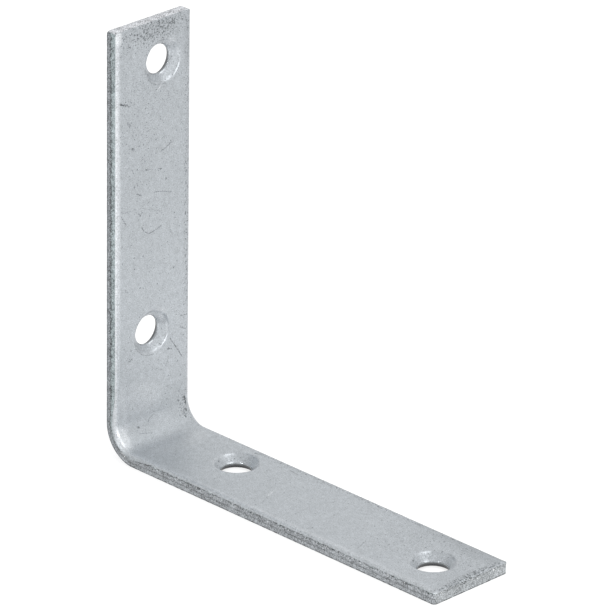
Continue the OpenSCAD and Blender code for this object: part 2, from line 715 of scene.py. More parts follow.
    def add_skirt(self, parts: MeshParts, inner: np.ndarray, outer: np.ndarray) -> None:
        """Adds the sheared side all round: its rounded edge, clean cut, tear and back edge.

        Args:
            parts: The mesh so far.
            inner: The inner face's vertices, stations by rows.
            outer: The outer face's.
        """
        sizes = self.sizes
        outline = self.rim(self.plan(0.0, False))
        normals = self.rim_normals()
        top = np.concatenate(parts.places)[self.rim(inner)]
        on_sides = np.abs(outline[:, 1]) > sizes.roll_start
        side_sign = np.where(on_sides, np.sign(outline[:, 1]), 0)
        radii = self.edge_radii(outline[:, 0])
        lowest_cut = top[:, 2] + radii
        tear = np.maximum(self.tear_line(outline), lowest_cut)
        loop = self.rim(inner)
        for row in self.skirt_rows(top[:, 2], radii, tear):
            depth, inset, sheared = row
            place = outline - normals * inset[:, None]
            place[:, 1] += side_sign * sizes.side_swell(outline[:, 0], depth)
            zones = np.zeros((len(depth), 3))
            zones[:, 0] = sheared
            zones[:, 1] = (depth - tear) / MM
            below = parts.add_points(np.column_stack([place, depth]), zones)
            parts.quads.append(
                np.column_stack([loop, below, np.roll(below, -1), np.roll(loop, -1)])
            )
            loop = below
        last = self.rim(outer)
        parts.quads.append(np.column_stack([loop, last, np.roll(last, -1), np.roll(loop, -1)]))

    def skirt_rows(
        self, top: np.ndarray, radii: np.ndarray, tear: np.ndarray
    ) -> list[tuple[np.ndarray, np.ndarray, float]]:
        """Rows of the sheared side, from the inner face down.

        Args:
            top: Depth of the inner face's rim.
            radii: Radius of the rounded edge.
            tear: Depth at which the metal tore.

        Returns:
            For each row its depths, its insets from the outline and its share of sheared side.
        """
        rows = []
        for turn in np.linspace(self.edge_slope, math.pi / 2, self.edge_steps + 1)[1:]:
            drop = radii * (math.cos(self.edge_slope) - math.cos(turn))
            share = (turn - self.edge_slope) / (math.pi / 2 - self.edge_slope)
            rows.append((top + drop, radii * (1 - math.sin(turn)), share**self.edge_shear_power))
        cut_top = top + radii * math.cos(self.edge_slope)
        for share in self.cut_rows:
            rows.append((cut_top + (tear - cut_top) * share, np.zeros_like(top), 1.0))
        torn_top = tear + self.ledge_height
        torn_end = self.sizes.thickness - self.back_edge
        for step in range(self.tear_rows + 1):
            share = step / self.tear_rows
            inset = np.full_like(top, self.ledge_inset + self.tear_taper * share)
            rows.append((torn_top + (torn_end - torn_top) * share, inset, 1.0))
        rounding = self.back_row * self.back_edge
        inset = np.full_like(top, self.ledge_inset + self.tear_taper + rounding)
        depth = np.full_like(top, self.sizes.thickness - rounding)
        rows.append((depth, inset, self.back_row_shear))
        return rows

    def add_hole(
        self,
        parts: MeshParts,
        hole: ScrewHole,
        span: tuple[int, int],
        inner: np.ndarray,
        outer: np.ndarray,
    ) -> None:
        """Fills a hole's block on both faces and lines the hole between them.

        Args:
            parts: The mesh so far.
            hole: The hole.
            span: First and last station of its block.
            inner: The inner face's vertices, stations by rows.
            outer: The outer face's.
        """
        rows = slice(self.roll_steps, inner.shape[1] - self.roll_steps)
        stations = slice(span[0], span[1] + 1)
        inner_loop = self.rim(inner[stations, rows])
        outer_loop = self.rim(outer[stations, rows])
        rim = np.concatenate(parts.places)[inner_loop][:, :2]
        centre = np.array([hole.along, hole.across])
        away = rim - centre
        directions = away / np.linalg.norm(away, axis=1)[:, None]
        profile = hole.profile(self.sizes.thickness)
        rings = []
        for share in np.arange(1, self.hole_rings) / self.hole_rings:
            rings.append((share, profile[0], 0.0))
        for radius, depth in profile:
            rings.append((1.0, (radius, depth), hole.punch_progress(depth, self.sizes.thickness)))
        for share in np.arange(self.hole_rings - 1, 0, -1) / self.hole_rings:
            rings.append((share, profile[-1], 0.0))
        loop = inner_loop
        for share, (radius, depth), punched in rings:
            circle = centre + directions * radius
            place = rim + (circle - rim) * share
            ring_places = np.column_stack([place, np.full(len(place), depth)])
            ring = parts.add_points(ring_places, np.array([0.0, 0.0, punched]))
            parts.add_band(loop, ring)
            loop = ring
        parts.add_band(loop, outer_loop)


class Graph:
    """Adds nodes to one node tree, feeds their inputs and links them."""

    def __init__(self, tree: NodeTree) -> None:
        """Keeps the tree to which nodes are added.

        Args:
            tree: A shader or geometry node tree.
        """
        self.tree = tree

    def feed(self, socket: NodeSocket, value: object) -> None:
        """Links a socket or sets its value.

        Args:
            socket: The input.
            value: Another node's output, or a plain value.
        """
        if isinstance(value, NodeSocket):
            self.tree.links.new(value, socket)
        else:
            socket.default_value = value

    def add(self, kind: str, inputs: dict | None = None, **settings: object) -> Node:
        """Adds a node.

        Args:
            kind: The node's type.
            inputs: Values or outputs for its inputs, by name or number.
            settings: The node's own properties.

        Returns:
            The node.
        """
        node = self.tree.nodes.new(kind)
        for name, value in settings.items():
            setattr(node, name, value)
        for name, value in (inputs or {}).items():
            self.feed(node.inputs[name], value)
        return node

    def math(self, operation: str, *values: object) -> NodeSocket:
        """Adds a Math node and returns its output."""
        return self.add("ShaderNodeMath", dict(enumerate(values)), operation=operation).outputs[0]

    def times(self, first: object, second: object) -> NodeSocket:
        """Multiplies two numbers and returns the result."""
        return self.math("MULTIPLY", first, second)

    def larger(self, first: object, second: object) -> NodeSocket:
        """Returns the larger of two numbers."""
        return self.math("MAXIMUM", first, second)

    def weakened(self, value: object, where: object, loss: float) -> NodeSocket:
        """Takes a share of a value away where a mask shows, and returns the rest."""
        return self.times(value, self.math("MULTIPLY_ADD", where, -loss, 1.0))

    def clamped(self, operation: str, *values: object) -> NodeSocket:
        """Adds a Math node whose result stays from 0 to 1, and returns its output."""
        inputs = dict(enumerate(values))
        return self.add("ShaderNodeMath", inputs, operation=operation, use_clamp=True).outputs[0]

    def vector(self, operation: str, *values: object) -> NodeSocket:
        """Adds a Vector Math node whose result is a vector, and returns it."""
        node = self.add("ShaderNodeVectorMath", dict(enumerate(values)), operation=operation)
        return node.outputs["Vector"]

    def scaled(self, vector: object, scale: object) -> NodeSocket:
        """Scales a vector by one factor and returns it."""
        node = self.add("ShaderNodeVectorMath", {0: vector, "Scale": scale}, operation="SCALE")
        return node.outputs["Vector"]

    def measure(self, operation: str, *values: object) -> NodeSocket:
        """Adds a Vector Math node whose result is a number, and returns it."""
        node = self.add("ShaderNodeVectorMath", dict(enumerate(values)), operation=operation)
        return node.outputs["Value"]

    def split(self, vector: object) -> tuple[NodeSocket, ...]:
        """Separates a vector into its three numbers."""
        return tuple(self.add("ShaderNodeSeparateXYZ", {0: vector}).outputs)

    def join(self, x: object, y: object, z: object) -> NodeSocket:
        """Combines three numbers into a vector."""
        return self.add("ShaderNodeCombineXYZ", {0: x, 1: y, 2: z}).outputs[0]

    def ramp(
        self, value: object, low: object, high: object, start: object = 0.0, end: object = 1.0
    ) -> NodeSocket:
        """Runs smoothly from one value to another.

        Args:
            value: What is followed.
            low: Where the run begins.
            high: Where it ends.
            start: The result up to low.
            end: The result from high on.

        Returns:
            The result.
        """
        inputs = {"Value": value, "From Min": low, "From Max": high, "To Min": start, "To Max": end}
        node = self.add("ShaderNodeMapRange", inputs, interpolation_type="SMOOTHSTEP")
        return node.outputs["Result"]

    def fall(self, value: object, low: object, high: object) -> NodeSocket:
        """Goes from one at the first value down to zero at the second, and returns that."""
        return self.ramp(value, low, high, 1.0, 0.0)

    def near(self, value: object, reach: Pair, far: float = 0.0) -> NodeSocket:
        """Masks where a value is close to zero.

        Args:
            value: What is followed, to either side of zero.
            reach: How far from zero the mask begins to fade, and where it is gone.
            far: What is left of the mask there.

        Returns:
            The mask.
        """
        return self.ramp(self.math("ABSOLUTE", value), *reach, 1.0, far)

    def noise(
        self, place: object, scale: object, detail: float = 2.0, rough: float = 0.5
    ) -> NodeSocket:
        """Adds a noise and returns its value, which is about 0.5 on average.

        Args:
            place: The coordinates.
            scale: Waves for each unit of them.
            detail: How many finer layers it has.
            rough: How strong the finer layers are.

        Returns:
            The noise's value.
        """
        inputs = {"Vector": place, "Scale": scale, "Detail": detail, "Roughness": rough}
        return self.add("ShaderNodeTexNoise", inputs).outputs[0]

    def blend(self, share: object, first: object, second: object) -> NodeSocket:
        """Mixes two colours.

        Args:
            share: How much of the second is taken.
            first: The first colour.
            second: The second.

        Returns:
            The mixed colour.
        """
        node = self.add("ShaderNodeMix", {0: share, 6: first, 7: second}, data_type="RGBA")
        return node.outputs[2]


@dataclass(frozen=True)
class Socket:
    """A named input or output of a node group."""

    name: str
    kind: str = "NodeSocketFloat"
    value: object = None


def new_group(
    name: str, tree_kind: str, inputs: Sequence[Socket], outputs: Sequence[Socket]
) -> tuple[NodeTree, Graph, Node, Node]:
    """Starts a node group.

    Args:
        name: The group's name.
        tree_kind: The kind of tree.
        inputs: The group's named inputs.
        outputs: Its named outputs.

    Returns:
        The group, a graph on it, and its input and output nodes.
    """
    tree = bpy.data.node_groups.new(name, tree_kind)
    for direction, sockets in (("INPUT", inputs), ("OUTPUT", outputs)):
        for socket in sockets:
            made = tree.interface.new_socket(socket.name, in_out=direction, socket_type=socket.kind)
            if socket.value is not None:
                made.default_value = socket.value
    graph = Graph(tree)
    return tree, graph, graph.add("NodeGroupInput"), graph.add("NodeGroupOutput")


@dataclass(frozen=True)
class PressBrake:
    """Bends the flat blank square and roughens its torn edges, with Geometry Nodes."""

    sizes: StripSizes
    tear_roughness: float = 0.05 * MM
    tear_grain: float = 0.6 * MM
    tear_start: Pair = (0.0, 0.12)
    seed: float = 3.7

    def build_tree(self, material: Material) -> NodeTree:
        """Builds the tree.

        Args:
            material: The finish that the bent strip gets.

        Returns:
            The Geometry Nodes tree.
        """
        inputs = [Socket("Geometry", "NodeSocketGeometry")]
        inputs += [Socket(name, "NodeSocketFloat", value) for name, value in self.values().items()]
        tree, graph, source, result = new_group(
            "press brake", "GeometryNodeTree", inputs, [Socket("Geometry", "NodeSocketGeometry")]
        )
        value = source.outputs
        along, across, height = graph.split(graph.add("GeometryNodeInputPosition").outputs[0])
        half_bend = graph.math("DIVIDE", value["Bend Length"], 2.0)
        share = graph.clamped(
            "DIVIDE", graph.math("SUBTRACT", half_bend, along), value["Bend Length"]
        )
        angle = graph.times(share, math.pi / 2)
        radius = graph.math("SUBTRACT", value["Inner Radius"], height)
        past_base = graph.larger(graph.math("SUBTRACT", along, half_bend), 0.0)
        minus_along = graph.times(along, -1.0)
        past_wall = graph.larger(graph.math("SUBTRACT", minus_along, half_bend), 0.0)
        axis = graph.math("ADD", value["Inner Radius"], value["Thickness"])
        sideways = graph.times(radius, graph.math("SINE", angle))
        downwards = graph.times(radius, graph.math("COSINE", angle))
        x = graph.math("ADD", graph.math("SUBTRACT", axis, sideways), past_base)
        x = graph.math("ADD", x, value["Heel"])
        z = graph.math("ADD", graph.math("SUBTRACT", axis, downwards), past_wall)
        bent = graph.add(
            "GeometryNodeSetPosition",
            {"Geometry": value["Geometry"], "Position": graph.join(x, across, z)},
        )
        zone = self.named_vector(graph, ZONE_ATTRIBUTE)
        place = self.named_vector(graph, PLACE_ATTRIBUTE)
        cut, below_tear, _ = graph.split(zone)
        torn = graph.times(cut, graph.ramp(below_tear, *self.tear_start))
        shifted = graph.vector("ADD", place, graph.join(0.0, 0.0, value["Seed"]))
        grains = graph.math("DIVIDE", 1.0, value["Tear Grain"])
        rough = graph.math("SUBTRACT", graph.noise(shifted, grains, detail=3.0, rough=0.6), 0.5)
        depth = graph.times(graph.times(rough, torn), value["Tear Roughness"])
        offset = graph.scaled(graph.add("GeometryNodeInputNormal").outputs[0], depth)
        torn_strip = graph.add(
            "GeometryNodeSetPosition", {"Geometry": bent.outputs[0], "Offset": offset}
        )
        smooth = graph.add("GeometryNodeSetShadeSmooth", {"Geometry": torn_strip.outputs[0]})
        real = graph.add("GeometryNodeRealizeInstances", {"Geometry": smooth.outputs[0]})
        dressed = graph.add(
            "GeometryNodeSetMaterial", {"Geometry": real.outputs[0], "Material": material}
        )
        graph.feed(result.inputs[0], dressed.outputs[0])
        return tree

    def values(self) -> dict[str, float]:
        """The tree's named inputs and their values."""
        return {
            "Bend Length": self.sizes.bend_length,
            "Inner Radius": self.sizes.bend_inner_radius,
            "Thickness": self.sizes.thickness,
            "Heel": self.sizes.heel_x,
            "Tear Roughness": 2 * self.tear_roughness,
            "Tear Grain": self.tear_grain / MM,
            "Seed": self.seed,
        }

    @staticmethod
    def named_vector(graph: Graph, name: str) -> NodeSocket:
        """Reads a vector attribute of the mesh.

        Args:
            graph: The tree's graph.
            name: The attribute's name.

        Returns:
            The attribute's value.
        """
        node = graph.add(
            "GeometryNodeInputNamedAttribute", {"Name": name}, data_type="FLOAT_VECTOR"
        )
        return next(
            output for output in node.outputs if output.enabled and output.name == "Attribute"
        )

    def bend(self, blank: Mesh, material: Material, name: str) -> Object:
        """Bends a blank and turns the result into a plain mesh.

        Args:
            blank: The flat mesh.
            material: Its finish.
            name: The piece's name.

        Returns:
            The finished piece, without modifiers.
        """
        holder = bpy.data.objects.new("flat blank", blank)
        bpy.context.scene.collection.objects.link(holder)
        tree = self.build_tree(material)
        modifier = holder.modifiers.new("press brake", "NODES")
        modifier.node_group = tree
        inputs = [item for item in tree.interface.items_tree if item.in_out == "INPUT"]
        identifiers = {item.name: item.identifier for item in inputs}
        for input_name, value in self.values().items():
            modifier[identifiers[input_name]] = value
        evaluated = holder.evaluated_get(bpy.context.evaluated_depsgraph_get())
        mesh = bpy.data.meshes.new_from_object(evaluated)
        mesh.name = name
        bpy.data.objects.remove(holder)
        piece = bpy.data.objects.new(name, mesh)
        bpy.context.scene.collection.objects.link(piece)
        return piece


@dataclass(frozen=True)
class Mark:
    """A scratch, streak or pit on the plating, in millimetres of the strip's own frame.

    A pit is a line of one point. A bent scratch has more than two.
    """

    name: str
    line: tuple[Pair, ...]
    half_width: float
    strength: float
    tone: Tone = Tone.DARK
    depth: float = 0.0


@dataclass(frozen=True)
class Patch:
    """A soft oval patch of the plating, in millimetres, and how strongly it shows."""

    name: str
    centre: Pair
    radii: Pair
    share: float
    depth: float = 0.0
    depth_reach: float = 1.2


# A rim's dark arc: how many points it has, and half its width in millimetres
ARC_POINTS = 7
ARC_HALF_WIDTH = 0.12


def arc_mark(name: str, centre: Pair, radius: float, turns: Pair, strength: float) -> Mark:
    """Makes a fine dark arc round a hole's rim.

    Args:
        name: The mark's name.
        centre: The hole's place, in millimetres.
        radius: The arc's radius, in millimetres.
        turns: Where the arc starts and ends, in degrees from the direction along the strip.
        strength: How strongly the arc shows.

    Returns:
        The mark.
    """
    angles = np.radians(np.linspace(*turns, ARC_POINTS))
    line = tuple(
        (centre[0] + radius * math.cos(angle), centre[1] + radius * math.sin(angle))
        for angle in angles
    )
    return Mark(name, line, ARC_HALF_WIDTH, strength)


MARKS = (
    Mark("scribble at the top end", ((-97.0, 4.5), (-97.2, 5.6)), 0.24, 0.8),
    Mark("scribble below it", ((-96.9, 2.1), (-96.3, 3.2), (-95.8, 4.5)), 0.18, 0.6),
    Mark("scribble over the upper hole", ((-96.3, -1.6), (-95.6, -0.8), (-95.0, -0.2)), 0.2, 0.6),
    Mark("scribble left of it", ((-96.4, -3.9), (-95.4, -2.9), (-95.0, -1.9)), 0.2, 0.6),
    Mark("light streak below the upper hole", ((-83.3, 2.2), (-82.1, 1.1)), 0.22, 0.35, Tone.LIGHT),
    Mark("dark streak beside it", ((-83.1, 1.9), (-82.2, 0.8)), 0.14, 0.5),
    Mark("first nick by the rolled edge", ((-81.9, -10.0), (-81.6, -9.2)), 0.26, 1.3),
    Mark("second nick", ((-81.4, -8.8), (-81.2, -8.0)), 0.26, 1.3),
    Mark("third nick", ((-80.8, -7.4),), 0.24, 1.01),
    Mark("pit over the nicks", ((-82.0, -8.4),), 0.24, 1.01),
    Mark("stain under the nicks", ((-76.7, -7.6), (-76.2, -7.1)), 0.4, 0.51),
    Mark("dark spot on the upper wall", ((-70.4, -6.3), (-70.2, -6.1)), 0.34, 1.09),
    Mark("dot over it", ((-73.6, -6.3),), 0.22, 0.72),
    Mark("streak on the upper wall", ((-67.5, 2.3), (-68.1, 3.9), (-68.9, 5.3)), 0.2, 0.6),
    Mark("dot under the streak", ((-64.5, -2.2), (-64.4, -1.8)), 0.26, 1.09),
    Mark("dot right of it", ((-63.4, 2.2),), 0.24, 1.01),
    Mark("dot below it", ((-60.7, 3.8), (-60.4, 3.9)), 0.22, 1.01),
    Mark("dot near the rolled edge", ((-61.2, -5.7),), 0.24, 1.01),
    Mark("short dash", ((-59.4, -5.0), (-58.7, -3.7)), 0.18, 0.7),
    Mark("fine line on the middle wall", ((-58.4, 0.4), (-57.9, 2.8), (-57.0, 5.4)), 0.14, 0.6),
    Mark("long faint arc", ((-56.0, -9.5), (-55.7, -3.7), (-53.3, 2.4)), 0.12, 0.3),
    Mark("notch under the arc", ((-54.5, -4.4), (-53.9, -3.9), (-54.5, -3.3)), 0.18, 0.65),
    Mark("scratch from the rolled edge", ((-55.4, -9.7), (-53.0, -8.2)), 0.16, 0.65),
    Mark(
        "bent scratch",
        ((-51.1, -3.5), (-49.9, -2.8), (-48.9, -1.3), (-49.2, 0.6), (-49.8, 2.6)),
        0.16,
        0.65,
    ),
    Mark("scribble past the bent scratch", ((-49.0, 5.0), (-47.8, 5.2), (-46.7, 5.9)), 0.24, 0.28),
    Mark("dot near the lower hole", ((-38.6, 6.3),), 0.24, 0.94),
    Mark("dot on the lower wall", ((-37.1, -8.2), (-36.9, -7.9)), 0.22, 0.94),
    Mark("dot right of the last", ((-36.6, -3.9),), 0.2, 0.8),
    Mark("dash at the far edge", ((-26.2, 8.5), (-26.0, 9.9)), 0.16, 0.55),
    Mark("second dash at the far edge", ((-23.5, 8.4), (-22.6, 10.0)), 0.16, 0.55),
    Mark("two dots", ((-19.4, 4.6), (-19.2, 4.9), (-19.0, 5.7)), 0.2, 1.01),
    Mark("scratch past the dots", ((-21.6, 5.3), (-18.4, 7.6), (-15.9, 9.1)), 0.14, 0.87),
    Mark("dash by the rolled edge", ((-19.7, -7.6), (-19.9, -6.9), (-20.2, -6.3)), 0.18, 0.6),
    Mark("scribble below the lower hole", ((-15.3, 3.9), (-16.3, 4.6), (-17.4, 4.7)), 0.14, 0.5),
    Mark("dot below the lower hole", ((-15.5, 1.4),), 0.22, 0.8),
    Mark("faint scratch at the far edge", ((-9.8, 9.1), (-8.2, 8.4), (-6.5, 7.9)), 0.13, 0.4),
    Mark("upper pits at the bend", ((-6.0, 9.7), (-5.0, 10.2), (-3.7, 10.1)), 0.24, 1.09),
    Mark("deepest pit at the bend", ((-2.4, 9.6), (-2.2, 9.8)), 0.34, 1.4),
    Mark("pit left of them", ((-5.7, 7.8), (-5.5, 8.1)), 0.24, 0.94),
    Mark("pit low at the bend", ((-1.1, 7.6),), 0.26, 1.09),
    Mark("pit beside it", ((-0.7, 8.9),), 0.28, 1.09),
    Mark("pit at the far side", ((0.6, 10.1),), 0.24, 0.94),
    Mark("spot in the bend", ((-2.5, -4.9), (-2.3, -4.6)), 0.3, 0.87),
    Mark("dashes in the bend", ((-0.6, -5.1), (-0.1, -3.4), (0.5, -1.8)), 0.15, 0.5),
    Mark("faint arc in the bend", ((-2.1, -1.9), (-3.6, -1.3), (-4.5, 0.1)), 0.16, 0.35),
    Mark("dark bit at the far edge", ((23.3, 9.3), (25.2, 10.0)), 0.26, 0.5),
    Mark("second dark bit", ((35.1, 8.8), (37.4, 8.4)), 0.2, 0.5),
    Mark("light tick on the base", ((40.6, -3.6), (39.9, -1.6)), 0.24, 0.4, Tone.LIGHT),
    Mark("dark tick beside it", ((42.4, -7.4), (40.6, -3.6), (40.2, -2.6)), 0.13, 0.35),
    Mark("faint scratch on the base", ((51.1, -7.8), (51.2, -2.3)), 0.13, 0.3),
    Mark("third dark bit", ((49.3, 9.6),), 0.3, 0.5),
    Mark("fourth dark bit", ((58.0, 10.0),), 0.3, 0.55),
    Mark("dot on the outer base", ((66.2, 5.7),), 0.26, 0.8),
    Mark("scratch before the outer hole", ((72.4, -7.9), (71.0, -4.0)), 0.15, 0.45),
    Mark("scratch in the outer countersink", ((82.9, -2.0), (85.2, -3.4)), 0.2, 0.85, Tone.DARK, 0.7),
    arc_mark("rim of the upper wall hole", (-88.6, 2.85), 5.42, (-85, 10), 0.55),
    arc_mark("rim of the lower wall hole", (-24.8, -0.25), 5.42, (-80, 5), 0.55),
)

SPECKLE_PATCHES = (
    Patch("far corner of the top end", (-97.2, 4.4), (2.6, 6.0), 1.0),
    Patch("top end", (-97.2, 0.5), (5.4, 13.0), 0.85),
    Patch("near corner of the top end", (-96.0, -7.5), (5.0, 4.0), 0.6),
    Patch("top half of the wall", (-80.0, -4.0), (30.0, 15.0), 0.24),
    Patch("far edge of the wall", (-60.0, 10.4), (60.0, 1.6), 0.55),
    Patch("free end of the base", (98.2, 0.0), (2.0, 14.0), 1.1),
    Patch("outer base", (84.0, 4.0), (20.0, 12.0), 0.3),
    Patch("far edge of the bend", (-3.2, 9.4), (5.5, 1.9), 0.7),
    Patch("far edge of the base", (50.0, 10.4), (60.0, 1.4), 0.7),
)

# Painted light: lighter patches that stand in for highlights on the near edges and the bend, and for
# light in the shaded foot of the wall and in the countersinks
PAINTED_LIGHT_PATCHES = (
    Patch("near edge of the wall", (-55.0, -10.9), (85.0, 1.4), 0.42),
    Patch("near corner of the top end", (-97.4, -10.6), (3.0, 1.5), 0.7),
    Patch("near edge of the bend", (-1.5, -10.2), (6.5, 2.6), 0.55),
    Patch("near edge of the base", (52.0, -10.8), (75.0, 1.6), 0.2),
    Patch("foot of the wall", (-9.0, -5.0), (6.5, 10.0), 0.26),
    Patch("near foot of the wall", (-7.5, -9.6), (10.0, 3.5), 0.34),
    Patch("base past the bend", (7.0, 1.0), (5.5, 13.0), 0.17),
    Patch("top of the lower countersink", (-28.4, 1.6), (3.2, 5.2), 1.0, 0.9),
    Patch("end side of the inner countersink", (27.4, 5.2), (2.6, 3.8), 0.4, 0.9),
    Patch("end side of the outer countersink", (91.4, 1.6), (2.6, 3.8), 0.4, 0.9),
    Patch("top of the upper countersink", (-92.8, 4.6), (2.6, 4.4), 0.6, 0.9),
    Patch("foot of the lower countersink", (-22.4, -2.9), (2.6, 3.0), 0.22, 0.9),
    Patch("foot of the upper countersink", (-86.4, 0.4), (2.6, 3.6), 0.28, 0.9),
)

# Painted shade: darker patches where the metal would catch too much light, at the far edges, the
# ends, the wall, the bend and the countersinks
PAINTED_SHADE_PATCHES = (
    Patch("far corner of the free end", (96.0, 11.0), (34.0, 6.0), 0.2),
    Patch("far edge of the base", (50.0, 11.2), (75.0, 1.3), 0.16),
    Patch("far edge of the wall", (-60.0, 11.2), (60.0, 1.3), 0.1),
    Patch("far corner of the top end", (-95.0, 11.0), (16.0, 3.5), 0.2),
    Patch("top end", (-97.0, 0.0), (4.0, 16.0), 0.12),
    Patch("edge of the top end", (-98.4, 0.0), (0.95, 30.0), 0.2, 0.2),
    Patch("top half of the wall", (-88.0, 0.0), (72.0, 40.0), 0.075),
    Patch("far side of the bend", (-4.0, 9.0), (14.0, 8.0), 0.1),
    Patch("middle of the bend", (-1.5, -3.5), (3.6, 8.0), 0.12),
    Patch("free end", (97.0, 0.0), (8.0, 14.0), 0.06),
    Patch("edge of the free end", (98.4, 0.0), (0.95, 30.0), 0.12, 0.2),
    Patch("far edge of the free end", (95.0, 11.3), (42.0, 1.6), 0.5),
    Patch("bright foot of the lower countersink", (-21.6, 1.3), (2.6, 2.6), 0.16, 0.9),
    Patch("bright foot of the upper countersink", (-85.0, 3.2), (2.6, 2.6), 0.1, 0.9),
    Patch("far side of the inner countersink", (21.4, 6.2), (3.4, 2.8), 0.2, 0.9),
    Patch("far side of the outer countersink", (85.4, 2.6), (3.4, 2.8), 0.2, 0.9),
    Patch("heel side of the inner countersink", (19.6, 3.0), (2.0, 4.4), 0.12, 0.9),
    Patch("heel side of the outer countersink", (83.6, -0.6), (2.0, 4.4), 0.12, 0.9),
)


@dataclass(frozen=True)
class Specks:
    """Dots in a share of the cells of a fixed spacing, in millimetres."""

    spacing: float
    size: float
    share: float


@dataclass(frozen=True)
class ZincPlate:
    """Finish of the plated faces, with lengths in millimetres, and the colours of its painted light
    and painted shade.
    """

    colour: Colour = (0.452, 0.478, 0.502, 1.0)
    dark_colour: Colour = (0.10, 0.11, 0.115, 1.0)
    # Colour of the light marks and of the painted light patches
    light_colour: Colour = (0.78, 0.80, 0.82, 1.0)
    # Colour of the painted shade patches
    painted_shade_colour: Colour = (0.11, 0.12, 0.126, 1.0)
    metallic: float = 0.8
    roughness: float = 0.5
    burnished_roughness: float = 0.3
    throat_edge_roughness: float = 0.14
    mark_roughness: float = 0.2
    grain_size: float = 0.27
    mottle_size: float = 1.3
    cloud_size: float = 8.0
    grain: float = 1.15
    mottle: float = 0.4
    cloud: float = 0.12
    grain_height: float = 0.014
    mark_height: float = -0.03
    marked_depths: Pair = (0.45, 0.7)
    break_size: float = 0.4
    stroke_breaks: Pair = (0.4, 0.56)
    stroke_strengths: Pair = (0.12, 0.95)
    # How the patches of painted light break up
    painted_light_breaks: Pair = (0.3, 0.55)
    painted_light_strengths: Pair = (0.45, 1.0)
    pits: Specks = Specks(1.3, 0.17, 0.25)
    pit_strength: float = 0.6
    speckle_size: float = 0.46
    speckle_level: float = 0.34
    speckle_rise: float = 0.13
    speckle_softness: float = 0.04
    speckle_strength: float = 0.75
    scribble_size: float = 1.5
    scribble_width: Pair = (0.01, 0.03)
    scribble_breaks: Pair = (0.46, 0.58)
    scribble_strength: float = 0.8
    lip_start: Pair = (0.01, 0.1)
    lip_end: Pair = (0.3, 0.6)
    lip_ends_along: Pair = (97.6, 98.0)
    throat_edge_depth: float = 1.78
    throat_edge_reach: Pair = (0.1, 0.22)


@dataclass(frozen=True)
class ShearedSteel:
    """Colours and marks of the sheared sides, with lengths in millimetres; their colours hold painted
    shade and painted light.

    A cracked line runs along the tear, and the base leg has a second one below it. Dots
    and gaps lie close to the tear, hollows in the torn metal and a burr at the outer face.
    """

    # The cut and the torn metal are darker than the plating partly as painted shade, as the near side
    # faces away from the light
    cut_colour: Colour = (0.335, 0.383, 0.394, 1.0)
    torn_colour: Colour = (0.303, 0.323, 0.342, 1.0)
    # Painted light: the ends are lit copies of the side, the top end the lightest as it faces up
    lit_top_end_colour: Colour = (0.57, 0.585, 0.61, 1.0)
    lit_free_end_colour: Colour = (0.4, 0.42, 0.433, 1.0)
    crack_colour: Colour = (0.035, 0.04, 0.042, 1.0)
    glint_colour: Colour = (1.0, 1.0, 1.0, 1.0)
    torn_roughness: float = 0.58
    extra_grain: float = 1.7
    crack_height: float = -0.06
    grain_size: float = 0.3
    grain_stretch: Triple = (0.6, 1.0, 1.0)
    line_size: float = 1.0
    wander: float = 1.1
    drift: float = 0.9
    base_reach: Pair = (-3.0, 3.0)
    base_lightness: float = 0.08
    end_reach: Pair = (98.2, 98.45)
    edge_reach: Pair = (9.6, 9.9)
    cut_reach: Pair = (0.2, 0.9)
    roll_depths: Pair = (0.27, 0.42)
    roll_fade: Pair = (-16.0, -8.0)
    roll_past_bend: float = 0.1
    tear_reach: Pair = (-0.08, 0.08)
    line_reach: Pair = (0.05, 0.26)
    line_breaks: Pair = (0.38, 0.56)
    line_strengths: Pair = (0.3, 1.0)
    line_strength: float = 0.8
    line_loss_on_base: float = 0.5
    line_loss_at_free_end: float = 0.6
    second_line: float = 1.85
    second_reach: Pair = (0.05, 0.3)
    second_strength: float = 0.4
    end_loss: float = 0.9
    hollow_grain: Pair = (0.34, 0.44)
    hollow_strength: float = 0.6
    dot_reach: Pair = (0.25, 0.6)
    dot_grain: Pair = (0.4, 0.47)
    burr_depths: Pair = (2.7, 2.95)
    burr_breaks: Pair = (0.42, 0.6)
    burr_strengths: Pair = (0.25, 0.85)
    gaps: Specks = Specks(0.8, 0.34, 0.6)
    gap_reach: Pair = (0.18, 0.42)
    crack_strength: float = 0.95
    glints: Specks = Specks(0.6, 0.36, 0.4)
    glint_reach: Pair = (0.2, 0.7)
    glint_away: float = 0.15
    glint_on_wall: float = 0.25
    glint_strength: float = 0.8


@dataclass(frozen=True)
class PunchedBore:
    """Colours of the throat and of the flare, darkened as painted shade inside the hole, and how far
    the punch has gone at each.
    """

    # The throat is darker than the plating; the base's throat is darker still and the flare near
    # black, as painted shade
    wall_throat_colour: Colour = (0.23, 0.24, 0.25, 1.0)
    base_throat_shade_colour: Colour = (0.14, 0.145, 0.15, 1.0)
    painted_flare_shade_colour: Colour = (0.05, 0.052, 0.055, 1.0)
    throat_reach: Pair = (0.1, 0.6)
    flare_reach: Pair = (0.9, 1.3)
    base_reach: Pair = (-1.0, 1.0)


@dataclass(frozen=True)
class SideMasks:
    """What the colours, cracks and glints of the sheared sides share, as outputs of nodes."""

    depth: NodeSocket
    cut: NodeSocket
    below_tear: NodeSocket
    rough: NodeSocket
    broad: NodeSocket
    wander: NodeSocket
    ragged: NodeSocket
    on_base: NodeSocket
    side: NodeSocket
    torn: NodeSocket
    free_end: NodeSocket
    top_end: NodeSocket


